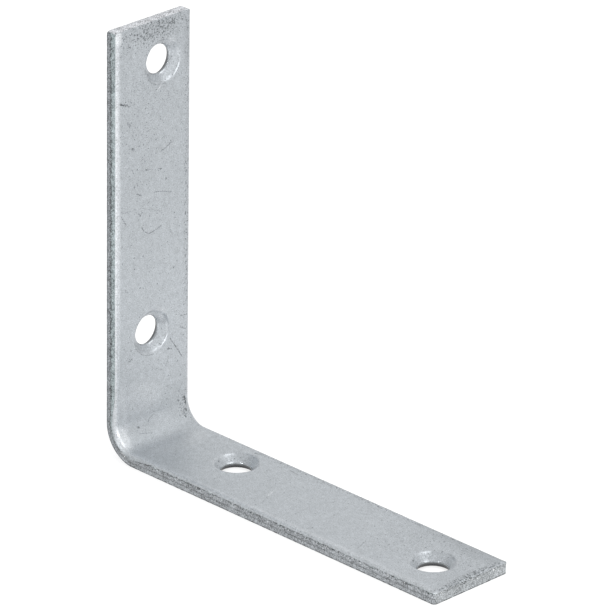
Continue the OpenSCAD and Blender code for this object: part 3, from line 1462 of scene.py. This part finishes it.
class MetalEffects:
    """The shared shader groups of the bracket's metal.

    The class's values are shares: the grain's finer layers, the mottling in its height,
    the smallest dot and the full core of a dot, a stroke's full core and its outer edge
    as shares of its half width, and the full core of a patch.
    """

    FINER_GRAIN: float = 0.55
    MOTTLE_HEIGHT: float = 2.5
    SMALLEST_DOT: float = 0.35
    DOT_CORE: float = 0.3
    STROKE_CORE: float = 0.25
    STROKE_EDGE: float = 1.5
    PATCH_CORE: float = 0.35

    def __init__(self) -> None:
        """Builds each group once."""
        self.grain = self.build_grain()
        self.speckle = self.build_speckle()
        self.scratch = self.build_scratch()
        self.patch = self.build_patch()

    @staticmethod
    def build_grain() -> NodeTree:
        """Builds the plating's grain: fine crystals, mottling and faint clouds.

        Returns:
            A group that puts out a shade about 1 and a height.
        """
        tree, graph, source, result = new_group(
            "plating grain",
            "ShaderNodeTree",
            [
                Socket("Place", "NodeSocketVector"),
                Socket("Grain Size"),
                Socket("Mottle Size"),
                Socket("Cloud Size"),
                Socket("Grain"),
                Socket("Mottle"),
                Socket("Cloud"),
            ],
            [Socket("Shade"), Socket("Height")],
        )
        value = source.outputs
        shade: object = 1.0
        layers = []
        for name, detail in (("Grain", 2.0), ("Mottle", 3.0), ("Cloud", 2.0)):
            scale = graph.math("DIVIDE", 1.0, value[f"{name} Size"])
            layer = graph.noise(value["Place"], scale, detail, MetalEffects.FINER_GRAIN)
            layer = graph.math("SUBTRACT", layer, 0.5)
            layers.append(layer)
            shade = graph.math("MULTIPLY_ADD", layer, value[name], shade)
        graph.feed(result.inputs["Shade"], shade)
        height = graph.math("MULTIPLY_ADD", layers[1], MetalEffects.MOTTLE_HEIGHT, layers[0])
        graph.feed(result.inputs["Height"], height)
        return tree

    @staticmethod
    def build_speckle() -> NodeTree:
        """Builds speckles: dots of uneven size, in a share of the cells of a fixed spacing.

        Returns:
            A group that puts out a mask.
        """
        tree, graph, source, result = new_group(
            "speckle",
            "ShaderNodeTree",
            [
                Socket("Place", "NodeSocketVector"),
                Socket("Spacing"),
                Socket("Size"),
                Socket("Share"),
            ],
            [Socket("Mask")],
        )
        value = source.outputs
        cells = graph.add(
            "ShaderNodeTexVoronoi",
            {
                "Vector": value["Place"],
                "Scale": graph.math("DIVIDE", 1.0, value["Spacing"]),
                "Randomness": 1.0,
            },
        )
        chance, size, _ = graph.split(cells.outputs["Color"])
        uneven = graph.math("ADD", size, MetalEffects.SMALLEST_DOT)
        reach = graph.times(value["Size"], uneven)
        inner = graph.times(reach, MetalEffects.DOT_CORE)
        dot = graph.fall(cells.outputs["Distance"], inner, reach)
        shown = graph.math("LESS_THAN", chance, value["Share"])
        graph.feed(result.inputs["Mask"], graph.times(dot, shown))
        return tree

    @staticmethod
    def build_scratch() -> NodeTree:
        """Builds one stroke of a scratch, laid over the strokes below it.

        Returns:
            A group that puts out the stronger of its own mask and the one below.
        """
        tree, graph, source, result = new_group(
            "scratch stroke",
            "ShaderNodeTree",
            [
                Socket("Place", "NodeSocketVector"),
                Socket("Start", "NodeSocketVector"),
                Socket("End", "NodeSocketVector"),
                Socket("Half Width"),
                Socket("Strength"),
                Socket("Below"),
            ],
            [Socket("Mask")],
        )
        value = source.outputs
        from_start = graph.vector("SUBTRACT", value["Place"], value["Start"])
        stroke = graph.vector("SUBTRACT", value["End"], value["Start"])
        reached = graph.measure("DOT_PRODUCT", from_start, stroke)
        done = graph.clamped("DIVIDE", reached, graph.measure("DOT_PRODUCT", stroke, stroke))
        nearest = graph.scaled(stroke, done)
        distance = graph.measure("LENGTH", graph.vector("SUBTRACT", from_start, nearest))
        inner = graph.times(value["Half Width"], MetalEffects.STROKE_CORE)
        outer = graph.times(value["Half Width"], MetalEffects.STROKE_EDGE)
        mask = graph.ramp(distance, inner, outer, value["Strength"], 0.0)
        graph.feed(result.inputs["Mask"], graph.larger(mask, value["Below"]))
        return tree

    @staticmethod
    def build_patch() -> NodeTree:
        """Builds a soft oval patch, laid over the patches below it.

        Returns:
            A group that puts out the stronger of its own share and the one below.
        """
        tree, graph, source, result = new_group(
            "patch",
            "ShaderNodeTree",
            [
                Socket("Place", "NodeSocketVector"),
                Socket("Centre", "NodeSocketVector"),
                Socket("Radii", "NodeSocketVector"),
                Socket("Share"),
                Socket("Below"),
            ],
            [Socket("Share")],
        )
        value = source.outputs
        offset = graph.vector("SUBTRACT", value["Place"], value["Centre"])
        reach = graph.measure("LENGTH", graph.vector("DIVIDE", offset, value["Radii"]))
        share = graph.ramp(reach, MetalEffects.PATCH_CORE, 1.0, value["Share"], 0.0)
        graph.feed(result.inputs["Share"], graph.larger(share, value["Below"]))
        return tree


@dataclass
class PlatedMetal:
    """The bracket's one material: plated faces, sheared sides and punched bores."""

    plate: ZincPlate = field(default_factory=ZincPlate)
    sheared: ShearedSteel = field(default_factory=ShearedSteel)
    bore: PunchedBore = field(default_factory=PunchedBore)
    wobble: float = 0.16
    wobble_scale: float = 2.2
    batch: int = 8
    tie: float = 1e-6

    def build(self, effects: MetalEffects) -> Material:
        """Builds the material.

        Args:
            effects: The shared shader groups.

        Returns:
            The material.
        """
        material = bpy.data.materials.new("zinc plated steel")
        material.use_nodes = True
        material.node_tree.nodes.clear()
        graph = Graph(material.node_tree)
        place = graph.add("ShaderNodeAttribute", attribute_name=PLACE_ATTRIBUTE).outputs["Vector"]
        zone = graph.add("ShaderNodeAttribute", attribute_name=ZONE_ATTRIBUTE).outputs["Vector"]
        cut, below_tear, punched = graph.split(zone)
        grain = self.group(
            graph,
            effects.grain,
            {
                "Place": place,
                "Grain Size": self.plate.grain_size,
                "Mottle Size": self.plate.mottle_size,
                "Cloud Size": self.plate.cloud_size,
                "Grain": self.plate.grain,
                "Mottle": self.plate.mottle,
                "Cloud": self.plate.cloud,
            },
        )
        dark, light, painted_shade = self.marks(graph, effects, place)
        # Painted shade darkens the plating in soft patches, and the light marks and the painted light
        # lighten it
        colour = graph.blend(painted_shade, self.plate.colour, self.plate.painted_shade_colour)
        colour = graph.blend(dark, colour, self.plate.dark_colour)
        colour = graph.blend(light, colour, self.plate.light_colour)
        colour, torn, crack = self.sheared_colour(graph, effects, colour, place, cut, below_tear)
        # The throat is darker than the plating, darker still on the base as painted shade, and the
        # flare is near black as painted shade inside the hole
        on_base = graph.ramp(graph.split(place)[0], *self.bore.base_reach)
        throat = graph.blend(on_base, self.bore.wall_throat_colour, self.bore.base_throat_shade_colour)
        colour = graph.blend(graph.ramp(punched, *self.bore.throat_reach), colour, throat)
        flare = graph.ramp(punched, *self.bore.flare_reach)
        colour = graph.blend(flare, colour, self.bore.painted_flare_shade_colour)
        stronger = graph.math("MULTIPLY_ADD", cut, self.sheared.extra_grain, 1.0)
        shade = graph.math("SUBTRACT", grain.outputs["Shade"], 1.0)
        shade = graph.math("MULTIPLY_ADD", shade, stronger, 1.0)
        shaded = graph.vector("MULTIPLY", colour, graph.join(shade, shade, shade))
        plain = self.plate.roughness
        roughness = graph.math("MULTIPLY_ADD", dark, self.plate.mark_roughness, plain)
        roughness = graph.math("MULTIPLY_ADD", torn, self.sheared.torn_roughness - plain, roughness)
        burnished = self.burnished(graph, place, cut)
        roughness = graph.math(
            "MULTIPLY_ADD", burnished, self.plate.burnished_roughness - plain, roughness
        )
        throat_edge = self.throat_edge(graph, place, cut)
        roughness = graph.math(
            "MULTIPLY_ADD", throat_edge, self.plate.throat_edge_roughness - plain, roughness
        )
        height = graph.times(grain.outputs["Height"], self.plate.grain_height)
        height = graph.math("MULTIPLY_ADD", dark, self.plate.mark_height, height)
        height = graph.math("MULTIPLY_ADD", crack, self.sheared.crack_height, height)
        bump = graph.add(
            "ShaderNodeBump",
            {"Strength": 1.0, "Distance": MM, "Height": height},
        )
        surface = graph.add(
            "ShaderNodeBsdfPrincipled",
            {
                "Base Color": shaded,
                "Metallic": self.plate.metallic,
                "Roughness": roughness,
                "Normal": bump.outputs["Normal"],
            },
        )
        result = graph.add("ShaderNodeOutputMaterial")
        graph.feed(result.inputs["Surface"], surface.outputs[0])
        return material

    @staticmethod
    def group(graph: Graph, tree: NodeTree, inputs: dict) -> Node:
        """Places a shared group in the material.

        Args:
            graph: The material's graph.
            tree: The group.
            inputs: Its inputs here, by name.

        Returns:
            The group's node.
        """
        node = graph.add("ShaderNodeGroup", node_tree=tree)
        for name, value in inputs.items():
            graph.feed(node.inputs[name], value)
        return node

    @staticmethod
    def after(graph: Graph, place: NodeSocket, value: NodeSocket) -> NodeSocket:
        """Ties a place to a value without moving it visibly.

        What uses the place is then worked out after the value. Cycles keeps few numbers
        at a time for one material, and too many marks worked out together turn it black.

        Args:
            graph: The material's graph.
            place: The place.
            value: What has to be worked out first.

        Returns:
            The place, tied to the value.
        """
        tied = graph.times(value, PlatedMetal.tie)
        return graph.vector("ADD", place, graph.join(tied, 0.0, 0.0))

    def marks(
        self, graph: Graph, effects: MetalEffects, place: NodeSocket
    ) -> tuple[NodeSocket, NodeSocket, NodeSocket]:
        """Lays out the scratches, pits and speckles, and the patches of painted light and of painted
        shade.

        Args:
            graph: The material's graph.
            effects: The shared groups.
            place: Place on the strip, in millimetres.

        Returns:
            The masks of the dark marks, of the light marks with the painted light, and of the painted
            shade.
        """
        plate = self.plate
        drift = graph.add(
            "ShaderNodeTexNoise", {"Vector": place, "Scale": self.wobble_scale, "Detail": 2.0}
        )
        centred = graph.vector("SUBTRACT", drift.outputs["Color"], (0.5, 0.5, 0.5))
        uneven = graph.vector("ADD", place, graph.scaled(centred, 2 * self.wobble))
        masks: dict[Tone, object] = {Tone.DARK: 0.0, Tone.LIGHT: 0.0}
        for number, mark in enumerate(MARKS, start=1):
            ends = mark.line[1:] or mark.line
            for start, end in zip(mark.line, ends):
                stroke = self.group(
                    graph,
                    effects.scratch,
                    {
                        "Place": uneven,
                        "Start": (*start, mark.depth),
                        "End": (*end, mark.depth),
                        "Half Width": mark.half_width,
                        "Strength": mark.strength,
                        "Below": masks[mark.tone],
                    },
                )
                masks[mark.tone] = stroke.outputs["Mask"]
            if number % self.batch == 0:
                uneven = self.after(graph, uneven, masks[mark.tone])
        place = self.after(graph, place, masks[Tone.DARK])
        breaks = graph.noise(place, 1 / plate.break_size, detail=2.0, rough=0.6)
        broken = graph.ramp(breaks, *plate.stroke_breaks, *plate.stroke_strengths)
        drawn = graph.times(masks[Tone.DARK], broken)
        on_face = graph.fall(graph.split(place)[2], *plate.marked_depths)
        share = self.patches(graph, effects, place, SPECKLE_PATCHES)
        share = graph.times(share, on_face)
        fine = graph.noise(uneven, 1 / plate.speckle_size, detail=2.0, rough=0.6)
        limit = graph.math("MULTIPLY_ADD", share, plate.speckle_rise, plate.speckle_level)
        softer = graph.math("SUBTRACT", limit, plate.speckle_softness)
        close = graph.fall(fine, softer, limit)
        winding = graph.noise(uneven, 1 / plate.scribble_size, detail=1.0, rough=0.5)
        winding = graph.math("SUBTRACT", winding, 0.5)
        scribble = graph.times(graph.near(winding, plate.scribble_width), share)
        scribble = graph.times(scribble, graph.ramp(breaks, *plate.scribble_breaks))
        pits = self.specks(graph, effects, uneven, plate.pits)
        dark = graph.larger(drawn, graph.times(close, plate.speckle_strength))
        dark = graph.larger(dark, graph.times(scribble, plate.scribble_strength))
        pitted = graph.times(pits, on_face)
        dark = graph.larger(dark, graph.times(pitted, plate.pit_strength))
        # Painted light: lighter patches in place of highlights and of light in shaded places
        painted_light = self.patches(graph, effects, place, PAINTED_LIGHT_PATCHES)
        painted_light = graph.times(painted_light, graph.ramp(breaks, *plate.painted_light_breaks, *plate.painted_light_strengths))
        # Painted shade: darker patches over the plating
        painted_shade = self.patches(graph, effects, self.after(graph, place, painted_light), PAINTED_SHADE_PATCHES)
        return dark, graph.larger(masks[Tone.LIGHT], painted_light), painted_shade

    def patches(
        self, graph: Graph, effects: MetalEffects, place: NodeSocket, patches: Sequence[Patch]
    ) -> NodeSocket:
        """Lays out soft oval patches.

        Args:
            graph: The material's graph.
            effects: The shared groups.
            place: Place on the strip, in millimetres.
            patches: The patches.

        Returns:
            How strongly they show.
        """
        share: object = 0.0
        for patch in patches:
            oval = self.group(
                graph,
                effects.patch,
                {
                    "Place": place,
                    "Centre": (*patch.centre, patch.depth),
                    "Radii": (*patch.radii, patch.depth_reach),
                    "Share": patch.share,
                    "Below": share,
                },
            )
            share = oval.outputs["Share"]
        return share

    def specks(
        self, graph: Graph, effects: MetalEffects, place: NodeSocket, specks: Specks
    ) -> NodeSocket:
        """Lays out one kind of specks.

        Args:
            graph: The material's graph.
            effects: The shared groups.
            place: Place on the strip, in millimetres.
            specks: Their spacing, size and share.

        Returns:
            Their mask.
        """
        inputs = {"Spacing": specks.spacing, "Size": specks.size, "Share": specks.share}
        node = self.group(graph, effects.speckle, {"Place": place, **inputs})
        return node.outputs["Mask"]

    def burnished(self, graph: Graph, place: NodeSocket, cut: NodeSocket) -> NodeSocket:
        """Masks the holes' lips and the rolled edges, which are smoother than the ends.

        Args:
            graph: The material's graph.
            place: Place on the strip, in millimetres.
            cut: Share of sheared side.

        Returns:
            The mask.
        """
        plate = self.plate
        along, _, depth = graph.split(place)
        lip = graph.ramp(depth, *plate.lip_start)
        lip = graph.times(lip, graph.fall(depth, *plate.lip_end))
        lip = graph.times(lip, graph.near(along, plate.lip_ends_along))
        return graph.times(lip, graph.math("SUBTRACT", 1.0, cut))

    def throat_edge(self, graph: Graph, place: NodeSocket, cut: NodeSocket) -> NodeSocket:
        """Masks the smooth edge between each hole's cone and its throat.

        Args:
            graph: The material's graph.
            place: Place on the strip, in millimetres.
            cut: Share of sheared side.

        Returns:
            The mask.
        """
        depth = graph.split(place)[2]
        distance = graph.math("SUBTRACT", depth, self.plate.throat_edge_depth)
        edge = graph.near(distance, self.plate.throat_edge_reach)
        return graph.times(edge, graph.math("SUBTRACT", 1.0, cut))

    def sheared_colour(
        self,
        graph: Graph,
        effects: MetalEffects,
        face: NodeSocket,
        place: NodeSocket,
        cut: NodeSocket,
        below_tear: NodeSocket,
    ) -> tuple[NodeSocket, NodeSocket, NodeSocket]:
        """Colours the sheared sides, partly with painted shade, and lightens their ends as painted
        light.

        Args:
            graph: The material's graph.
            effects: The shared groups.
            face: Colour of the plated face.
            place: Place on the strip, in millimetres.
            cut: Share of sheared side.
            below_tear: Depth below the line of the tear, in millimetres.

        Returns:
            The colour with the sides added, the mask of torn metal and that of the cracks.
        """
        sheared = self.sheared
        stretched = graph.vector("MULTIPLY", place, sheared.grain_stretch)
        rough = graph.noise(stretched, 1 / sheared.grain_size, detail=3.0, rough=0.65)
        broad = graph.noise(place, 1 / sheared.line_size, detail=2.0, rough=0.5)
        wander = graph.times(graph.math("SUBTRACT", rough, 0.5), sheared.wander)
        ragged = graph.math("ADD", below_tear, wander)
        drift = graph.math("SUBTRACT", broad, 0.5)
        ragged = graph.math("MULTIPLY_ADD", drift, sheared.drift, ragged)
        along, across, depth = graph.split(place)
        at_edge = graph.ramp(graph.math("ABSOLUTE", across), *sheared.edge_reach)
        on_base = graph.ramp(along, *sheared.base_reach)
        dropped = graph.times(graph.ramp(depth, *sheared.roll_depths), at_edge)
        fade = graph.ramp(along, *sheared.roll_fade, 1.0, sheared.roll_past_bend)
        dropped = graph.times(dropped, fade)
        side = graph.larger(graph.ramp(cut, *sheared.cut_reach), dropped)
        torn = graph.times(cut, graph.ramp(ragged, *sheared.tear_reach))
        # The sides are darker than the plating partly as painted shade; the ends are lit copies, as
        # painted light
        colour = graph.blend(side, face, sheared.cut_colour)
        colour = graph.blend(torn, colour, sheared.torn_colour)
        lighter = graph.times(cut, graph.times(on_base, sheared.base_lightness))
        colour = graph.blend(lighter, colour, sheared.glint_colour)
        free_end = graph.times(side, graph.ramp(along, *sheared.end_reach))
        minus_along = graph.times(along, -1.0)
        top_end = graph.times(side, graph.ramp(minus_along, *sheared.end_reach))
        colour = graph.blend(free_end, colour, sheared.lit_free_end_colour)
        colour = graph.blend(top_end, colour, sheared.lit_top_end_colour)
        masks = SideMasks(
            depth=depth,
            cut=cut,
            below_tear=below_tear,
            rough=rough,
            broad=broad,
            wander=wander,
            ragged=ragged,
            on_base=on_base,
            side=side,
            torn=torn,
            free_end=free_end,
            top_end=top_end,
        )
        crack = self.cracks(graph, masks)
        place = self.after(graph, place, crack)
        gaps = self.specks(graph, effects, place, sheared.gaps)
        at_tear = graph.near(below_tear, sheared.gap_reach)
        crack = graph.larger(crack, graph.times(gaps, graph.times(at_tear, cut)))
        crack = graph.weakened(crack, top_end, sheared.end_loss)
        strength = graph.times(crack, sheared.crack_strength)
        colour = graph.blend(strength, colour, sheared.crack_colour)
        glint = self.glints(graph, effects, place, masks)
        colour = graph.blend(glint, colour, sheared.glint_colour)
        return colour, torn, crack

    def cracks(self, graph: Graph, masks: SideMasks) -> NodeSocket:
        """Masks the dark lines, hollows and dots of the sheared sides, and their burr.

        Args:
            graph: The material's graph.
            masks: What the sheared sides show where.

        Returns:
            The mask.
        """
        sheared = self.sheared
        line = graph.near(masks.ragged, sheared.line_reach)
        broken = graph.ramp(masks.broad, *sheared.line_breaks, *sheared.line_strengths)
        line = graph.times(line, broken)
        line = graph.weakened(line, masks.on_base, sheared.line_loss_on_base)
        line = graph.weakened(line, masks.free_end, sheared.line_loss_at_free_end)
        wavy_depth = graph.math("ADD", masks.depth, masks.wander)
        second = graph.math("ABSOLUTE", graph.math("SUBTRACT", wavy_depth, sheared.second_line))
        second = graph.ramp(second, *sheared.second_reach, sheared.second_strength, 0.0)
        second = graph.times(second, masks.on_base)
        second = graph.weakened(second, masks.free_end, sheared.end_loss)
        lines = graph.larger(graph.times(line, sheared.line_strength), second)
        line = graph.times(lines, masks.cut)
        hollow = graph.fall(masks.rough, *sheared.hollow_grain)
        hollow = graph.times(hollow, masks.torn)
        close = graph.near(masks.below_tear, sheared.dot_reach)
        dots = graph.times(graph.fall(masks.rough, *sheared.dot_grain), close)
        burr = graph.ramp(masks.depth, *sheared.burr_depths)
        uneven = graph.ramp(masks.broad, *sheared.burr_breaks, *sheared.burr_strengths)
        burr = graph.times(burr, uneven)
        crack = graph.larger(line, graph.times(hollow, sheared.hollow_strength))
        crack = graph.larger(crack, graph.times(dots, masks.cut))
        return graph.larger(crack, graph.times(burr, masks.cut))

    def glints(
        self, graph: Graph, effects: MetalEffects, place: NodeSocket, masks: SideMasks
    ) -> NodeSocket:
        """Masks the bright specks of the sheared sides.

        Args:
            graph: The material's graph.
            effects: The shared groups.
            place: Place on the strip, in millimetres.
            masks: What the sheared sides show where.

        Returns:
            The mask.
        """
        sheared = self.sheared
        glints = self.specks(graph, effects, place, sheared.glints)
        near_line = graph.near(masks.below_tear, sheared.glint_reach, sheared.glint_away)
        on_leg = graph.math(
            "MULTIPLY_ADD", masks.on_base, 1 - sheared.glint_on_wall, sheared.glint_on_wall
        )
        near_line = graph.times(near_line, on_leg)
        near_line = graph.weakened(near_line, masks.top_end, sheared.end_loss)
        glint = graph.times(glints, graph.times(masks.side, near_line))
        return graph.times(glint, sheared.glint_strength)


@dataclass
class Bracket:
    """The whole brace: one strip of plated steel."""

    sizes: StripSizes
    holes: tuple[ScrewHole, ...]

    def build(self) -> Object:
        """Makes the strip, dresses it and puts it in the frame.

        Returns:
            The finished piece.
        """
        material = PlatedMetal().build(MetalEffects())
        blank = StripBlank(self.sizes, self.holes).build()
        LOG.info("flat blank: %d vertices, %d faces", len(blank.vertices), len(blank.polygons))
        piece = PressBrake(self.sizes).bend(blank, material, "bracket_strip")
        mesh = piece.data
        LOG.info("bent strip: %d vertices, %d faces", len(mesh.vertices), len(mesh.polygons))
        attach(piece, BODY_NAME)
        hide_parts(NODE_NAME)
        return piece


@dataclass(frozen=True)
class StudioCamera:
    """The photograph's camera, from its fitted angles and distances in leg lengths."""

    azimuth: float = math.radians(44.88)
    elevation: float = math.radians(24.053)
    roll: float = math.radians(-0.805)
    distance: float = 13.978
    rightwards: float = -0.4326
    downwards: float = 0.3326
    focal_pixels: float = 6389.3
    frame_pixels: float = 608.0
    sensor: float = 36.0
    far_limit: float = 100.0

    def build(self, sizes: StripSizes) -> Object:
        """Adds the camera and makes it the scene's own.

        Args:
            sizes: The strip's sizes.

        Returns:
            The camera's object.
        """
        ahead = Vector(
            (
                -math.sin(self.azimuth) * math.cos(self.elevation),
                math.cos(self.azimuth) * math.cos(self.elevation),
                -math.sin(self.elevation),
            )
        )
        level_right = Vector((math.cos(self.azimuth), math.sin(self.azimuth), 0))
        level_down = ahead.cross(level_right)
        right = math.cos(self.roll) * level_right + math.sin(self.roll) * level_down
        down = -math.sin(self.roll) * level_right + math.cos(self.roll) * level_down
        heel = Vector((sizes.heel_x, -sizes.width / 2, 0))
        offset = right * self.rightwards + down * self.downwards + ahead * self.distance
        data = bpy.data.cameras.new("camera")
        data.sensor_width = self.sensor
        data.lens = self.focal_pixels / self.frame_pixels * self.sensor
        data.clip_end = self.far_limit
        camera = bpy.data.objects.new("camera", data)
        camera.matrix_world = Matrix.Translation(heel - offset * sizes.leg_length) @ Matrix(
            (right, -down, -ahead)
        ).transposed().to_4x4()
        bpy.context.scene.collection.objects.link(camera)
        bpy.context.scene.camera = camera
        return camera


@dataclass(frozen=True)
class SoftBox:
    """A soft lamp that shines on the bracket, placed by its direction and distance."""

    name: str
    azimuth: float
    elevation: float
    distance: float
    width: float
    height: float
    radiance: float

    def build(self, target: Vector) -> Object:
        """Adds the lamp.

        Args:
            target: The point that it faces.

        Returns:
            The lamp's object.
        """
        away = Vector(
            (
                math.cos(self.elevation) * math.cos(self.azimuth),
                math.cos(self.elevation) * math.sin(self.azimuth),
                math.sin(self.elevation),
            )
        )
        data = bpy.data.lights.new(self.name, "AREA")
        data.shape = "RECTANGLE"
        data.size = self.width
        data.size_y = self.height
        data.energy = self.radiance * math.pi * self.width * self.height
        lamp = bpy.data.objects.new(self.name, data)
        lamp.location = target + away * self.distance
        lamp.rotation_euler = away.to_track_quat("Z", "Y").to_euler()
        lamp.visible_camera = False
        bpy.context.scene.collection.objects.link(lamp)
        return lamp


@dataclass(frozen=True)
class FloorPool:
    """A soft oval pool of light on the floor, which the metal mirrors."""

    name: str
    centre: Triple
    radii: Triple
    level: float


@dataclass
class Studio:
    """The plain pale floor, the soft light and the camera."""

    sizes: StripSizes
    floor_radius: float = 8.0
    floor_sides: int = 64
    floor_colour: Colour = (0.4, 0.4, 0.4, 1.0)
    floor_white: float = 0.67
    pools: tuple[FloorPool, ...] = (
        FloorPool("near pool", (0.1, -0.075, 0.0), (0.2, 0.09, 1.0), 0.5),
        FloorPool("far pool", (0.02, 0.06, 0.0), (0.16, 0.1, 1.0), 0.12),
    )
    pool_fade: Pair = (0.3, 1.0)
    world_bright: float = 1.06
    world_dim: float = 0.7
    bright_side: Triple = (0.7, 0.7, 0.14)
    world_fade: Pair = (-0.9, 0.1)
    target_height: float = 0.3
    lamps: tuple[SoftBox, ...] = (
        SoftBox("edge light", math.radians(-5), math.radians(12), 0.7, 0.34, 0.26, 3.6),
        SoftBox("glint light", math.radians(-86), math.radians(30), 0.7, 0.11, 0.11, 24.0),
        SoftBox("corner light", math.radians(20), math.radians(58), 0.9, 0.5, 0.5, 1.4),
    )

    def build(self) -> None:
        """Sets the stage, the light and the view."""
        self.build_floor()
        self.build_world()
        target = Vector((0, 0, self.sizes.leg_length * self.target_height))
        for lamp in self.lamps:
            lamp.build(target)
        StudioCamera().build(self.sizes)
        bpy.context.scene.view_settings.view_transform = "Standard"

    def build_floor(self) -> None:
        """Adds the floor, which shows white to the camera and in the metal and keeps the shadow."""
        mesh = bpy.data.meshes.new("floor")
        turns = np.linspace(0, 2 * math.pi, self.floor_sides, endpoint=False)
        radius = self.floor_radius
        rim = [(radius * math.cos(turn), radius * math.sin(turn), 0.0) for turn in turns]
        mesh.from_pydata(rim, [], [list(range(len(rim)))])
        floor = bpy.data.objects.new("floor", mesh)
        bpy.context.scene.collection.objects.link(floor)
        material = bpy.data.materials.new("pale floor")
        material.use_nodes = True
        material.node_tree.nodes.clear()
        graph = Graph(material.node_tree)
        path = graph.add("ShaderNodeLightPath").outputs
        seen = graph.clamped("ADD", path["Is Camera Ray"], path["Is Glossy Ray"])
        seen = graph.clamped("ADD", seen, path["Is Transmission Ray"])
        spot = graph.add("ShaderNodeTexCoord").outputs["Object"]
        level = graph.times(seen, self.floor_white)
        for pool in self.pools:
            offset = graph.vector("DIVIDE", graph.vector("SUBTRACT", spot, pool.centre), pool.radii)
            light = graph.ramp(graph.measure("LENGTH", offset), *self.pool_fade, pool.level, 0.0)
            level = graph.math("MULTIPLY_ADD", light, path["Is Glossy Ray"], level)
        glow = graph.add("ShaderNodeEmission", {"Strength": level})
        matt = graph.add("ShaderNodeBsdfDiffuse", {"Color": self.floor_colour})
        both = graph.add("ShaderNodeAddShader", {0: glow.outputs[0], 1: matt.outputs[0]})
        result = graph.add("ShaderNodeOutputMaterial")
        graph.feed(result.inputs["Surface"], both.outputs[0])
        mesh.materials.append(material)

    def build_world(self) -> None:
        """Sets the room's light: pale all round, and less from the near left."""
        world = bpy.data.worlds.new("studio")
        world.use_nodes = True
        world.node_tree.nodes.clear()
        graph = Graph(world.node_tree)
        direction = graph.add("ShaderNodeTexCoord").outputs["Generated"]
        towards = graph.measure("DOT_PRODUCT", direction, self.bright_side)
        level = graph.ramp(towards, *self.world_fade, self.world_dim, self.world_bright)
        white = (1.0, 1.0, 1.0, 1.0)
        background = graph.add("ShaderNodeBackground", {"Color": white, "Strength": level})
        result = graph.add("ShaderNodeOutputWorld")
        graph.feed(result.inputs["Surface"], background.outputs[0])
        bpy.context.scene.world = world


def main() -> None:
    """Builds the bracket and its studio, and logs the strip's sizes and its holes."""
    logging.basicConfig(level=logging.INFO, format="%(name)s: %(message)s")
    sizes = StripSizes.from_frame()
    holes = ScrewHole.all_from_frame(sizes)
    in_mm = [size / MM for size in (sizes.width, sizes.thickness, sizes.leg_length)]
    LOG.info("strip %.1f by %.1f mm, legs %.1f mm", *in_mm)
    for hole in holes:
        LOG.info("%s: %.1f mm along, %.2f mm across", hole.name, hole.along / MM, hole.across / MM)
    Studio(sizes).build()
    Bracket(sizes, holes).build()


if __name__ == "__main__":
    main()
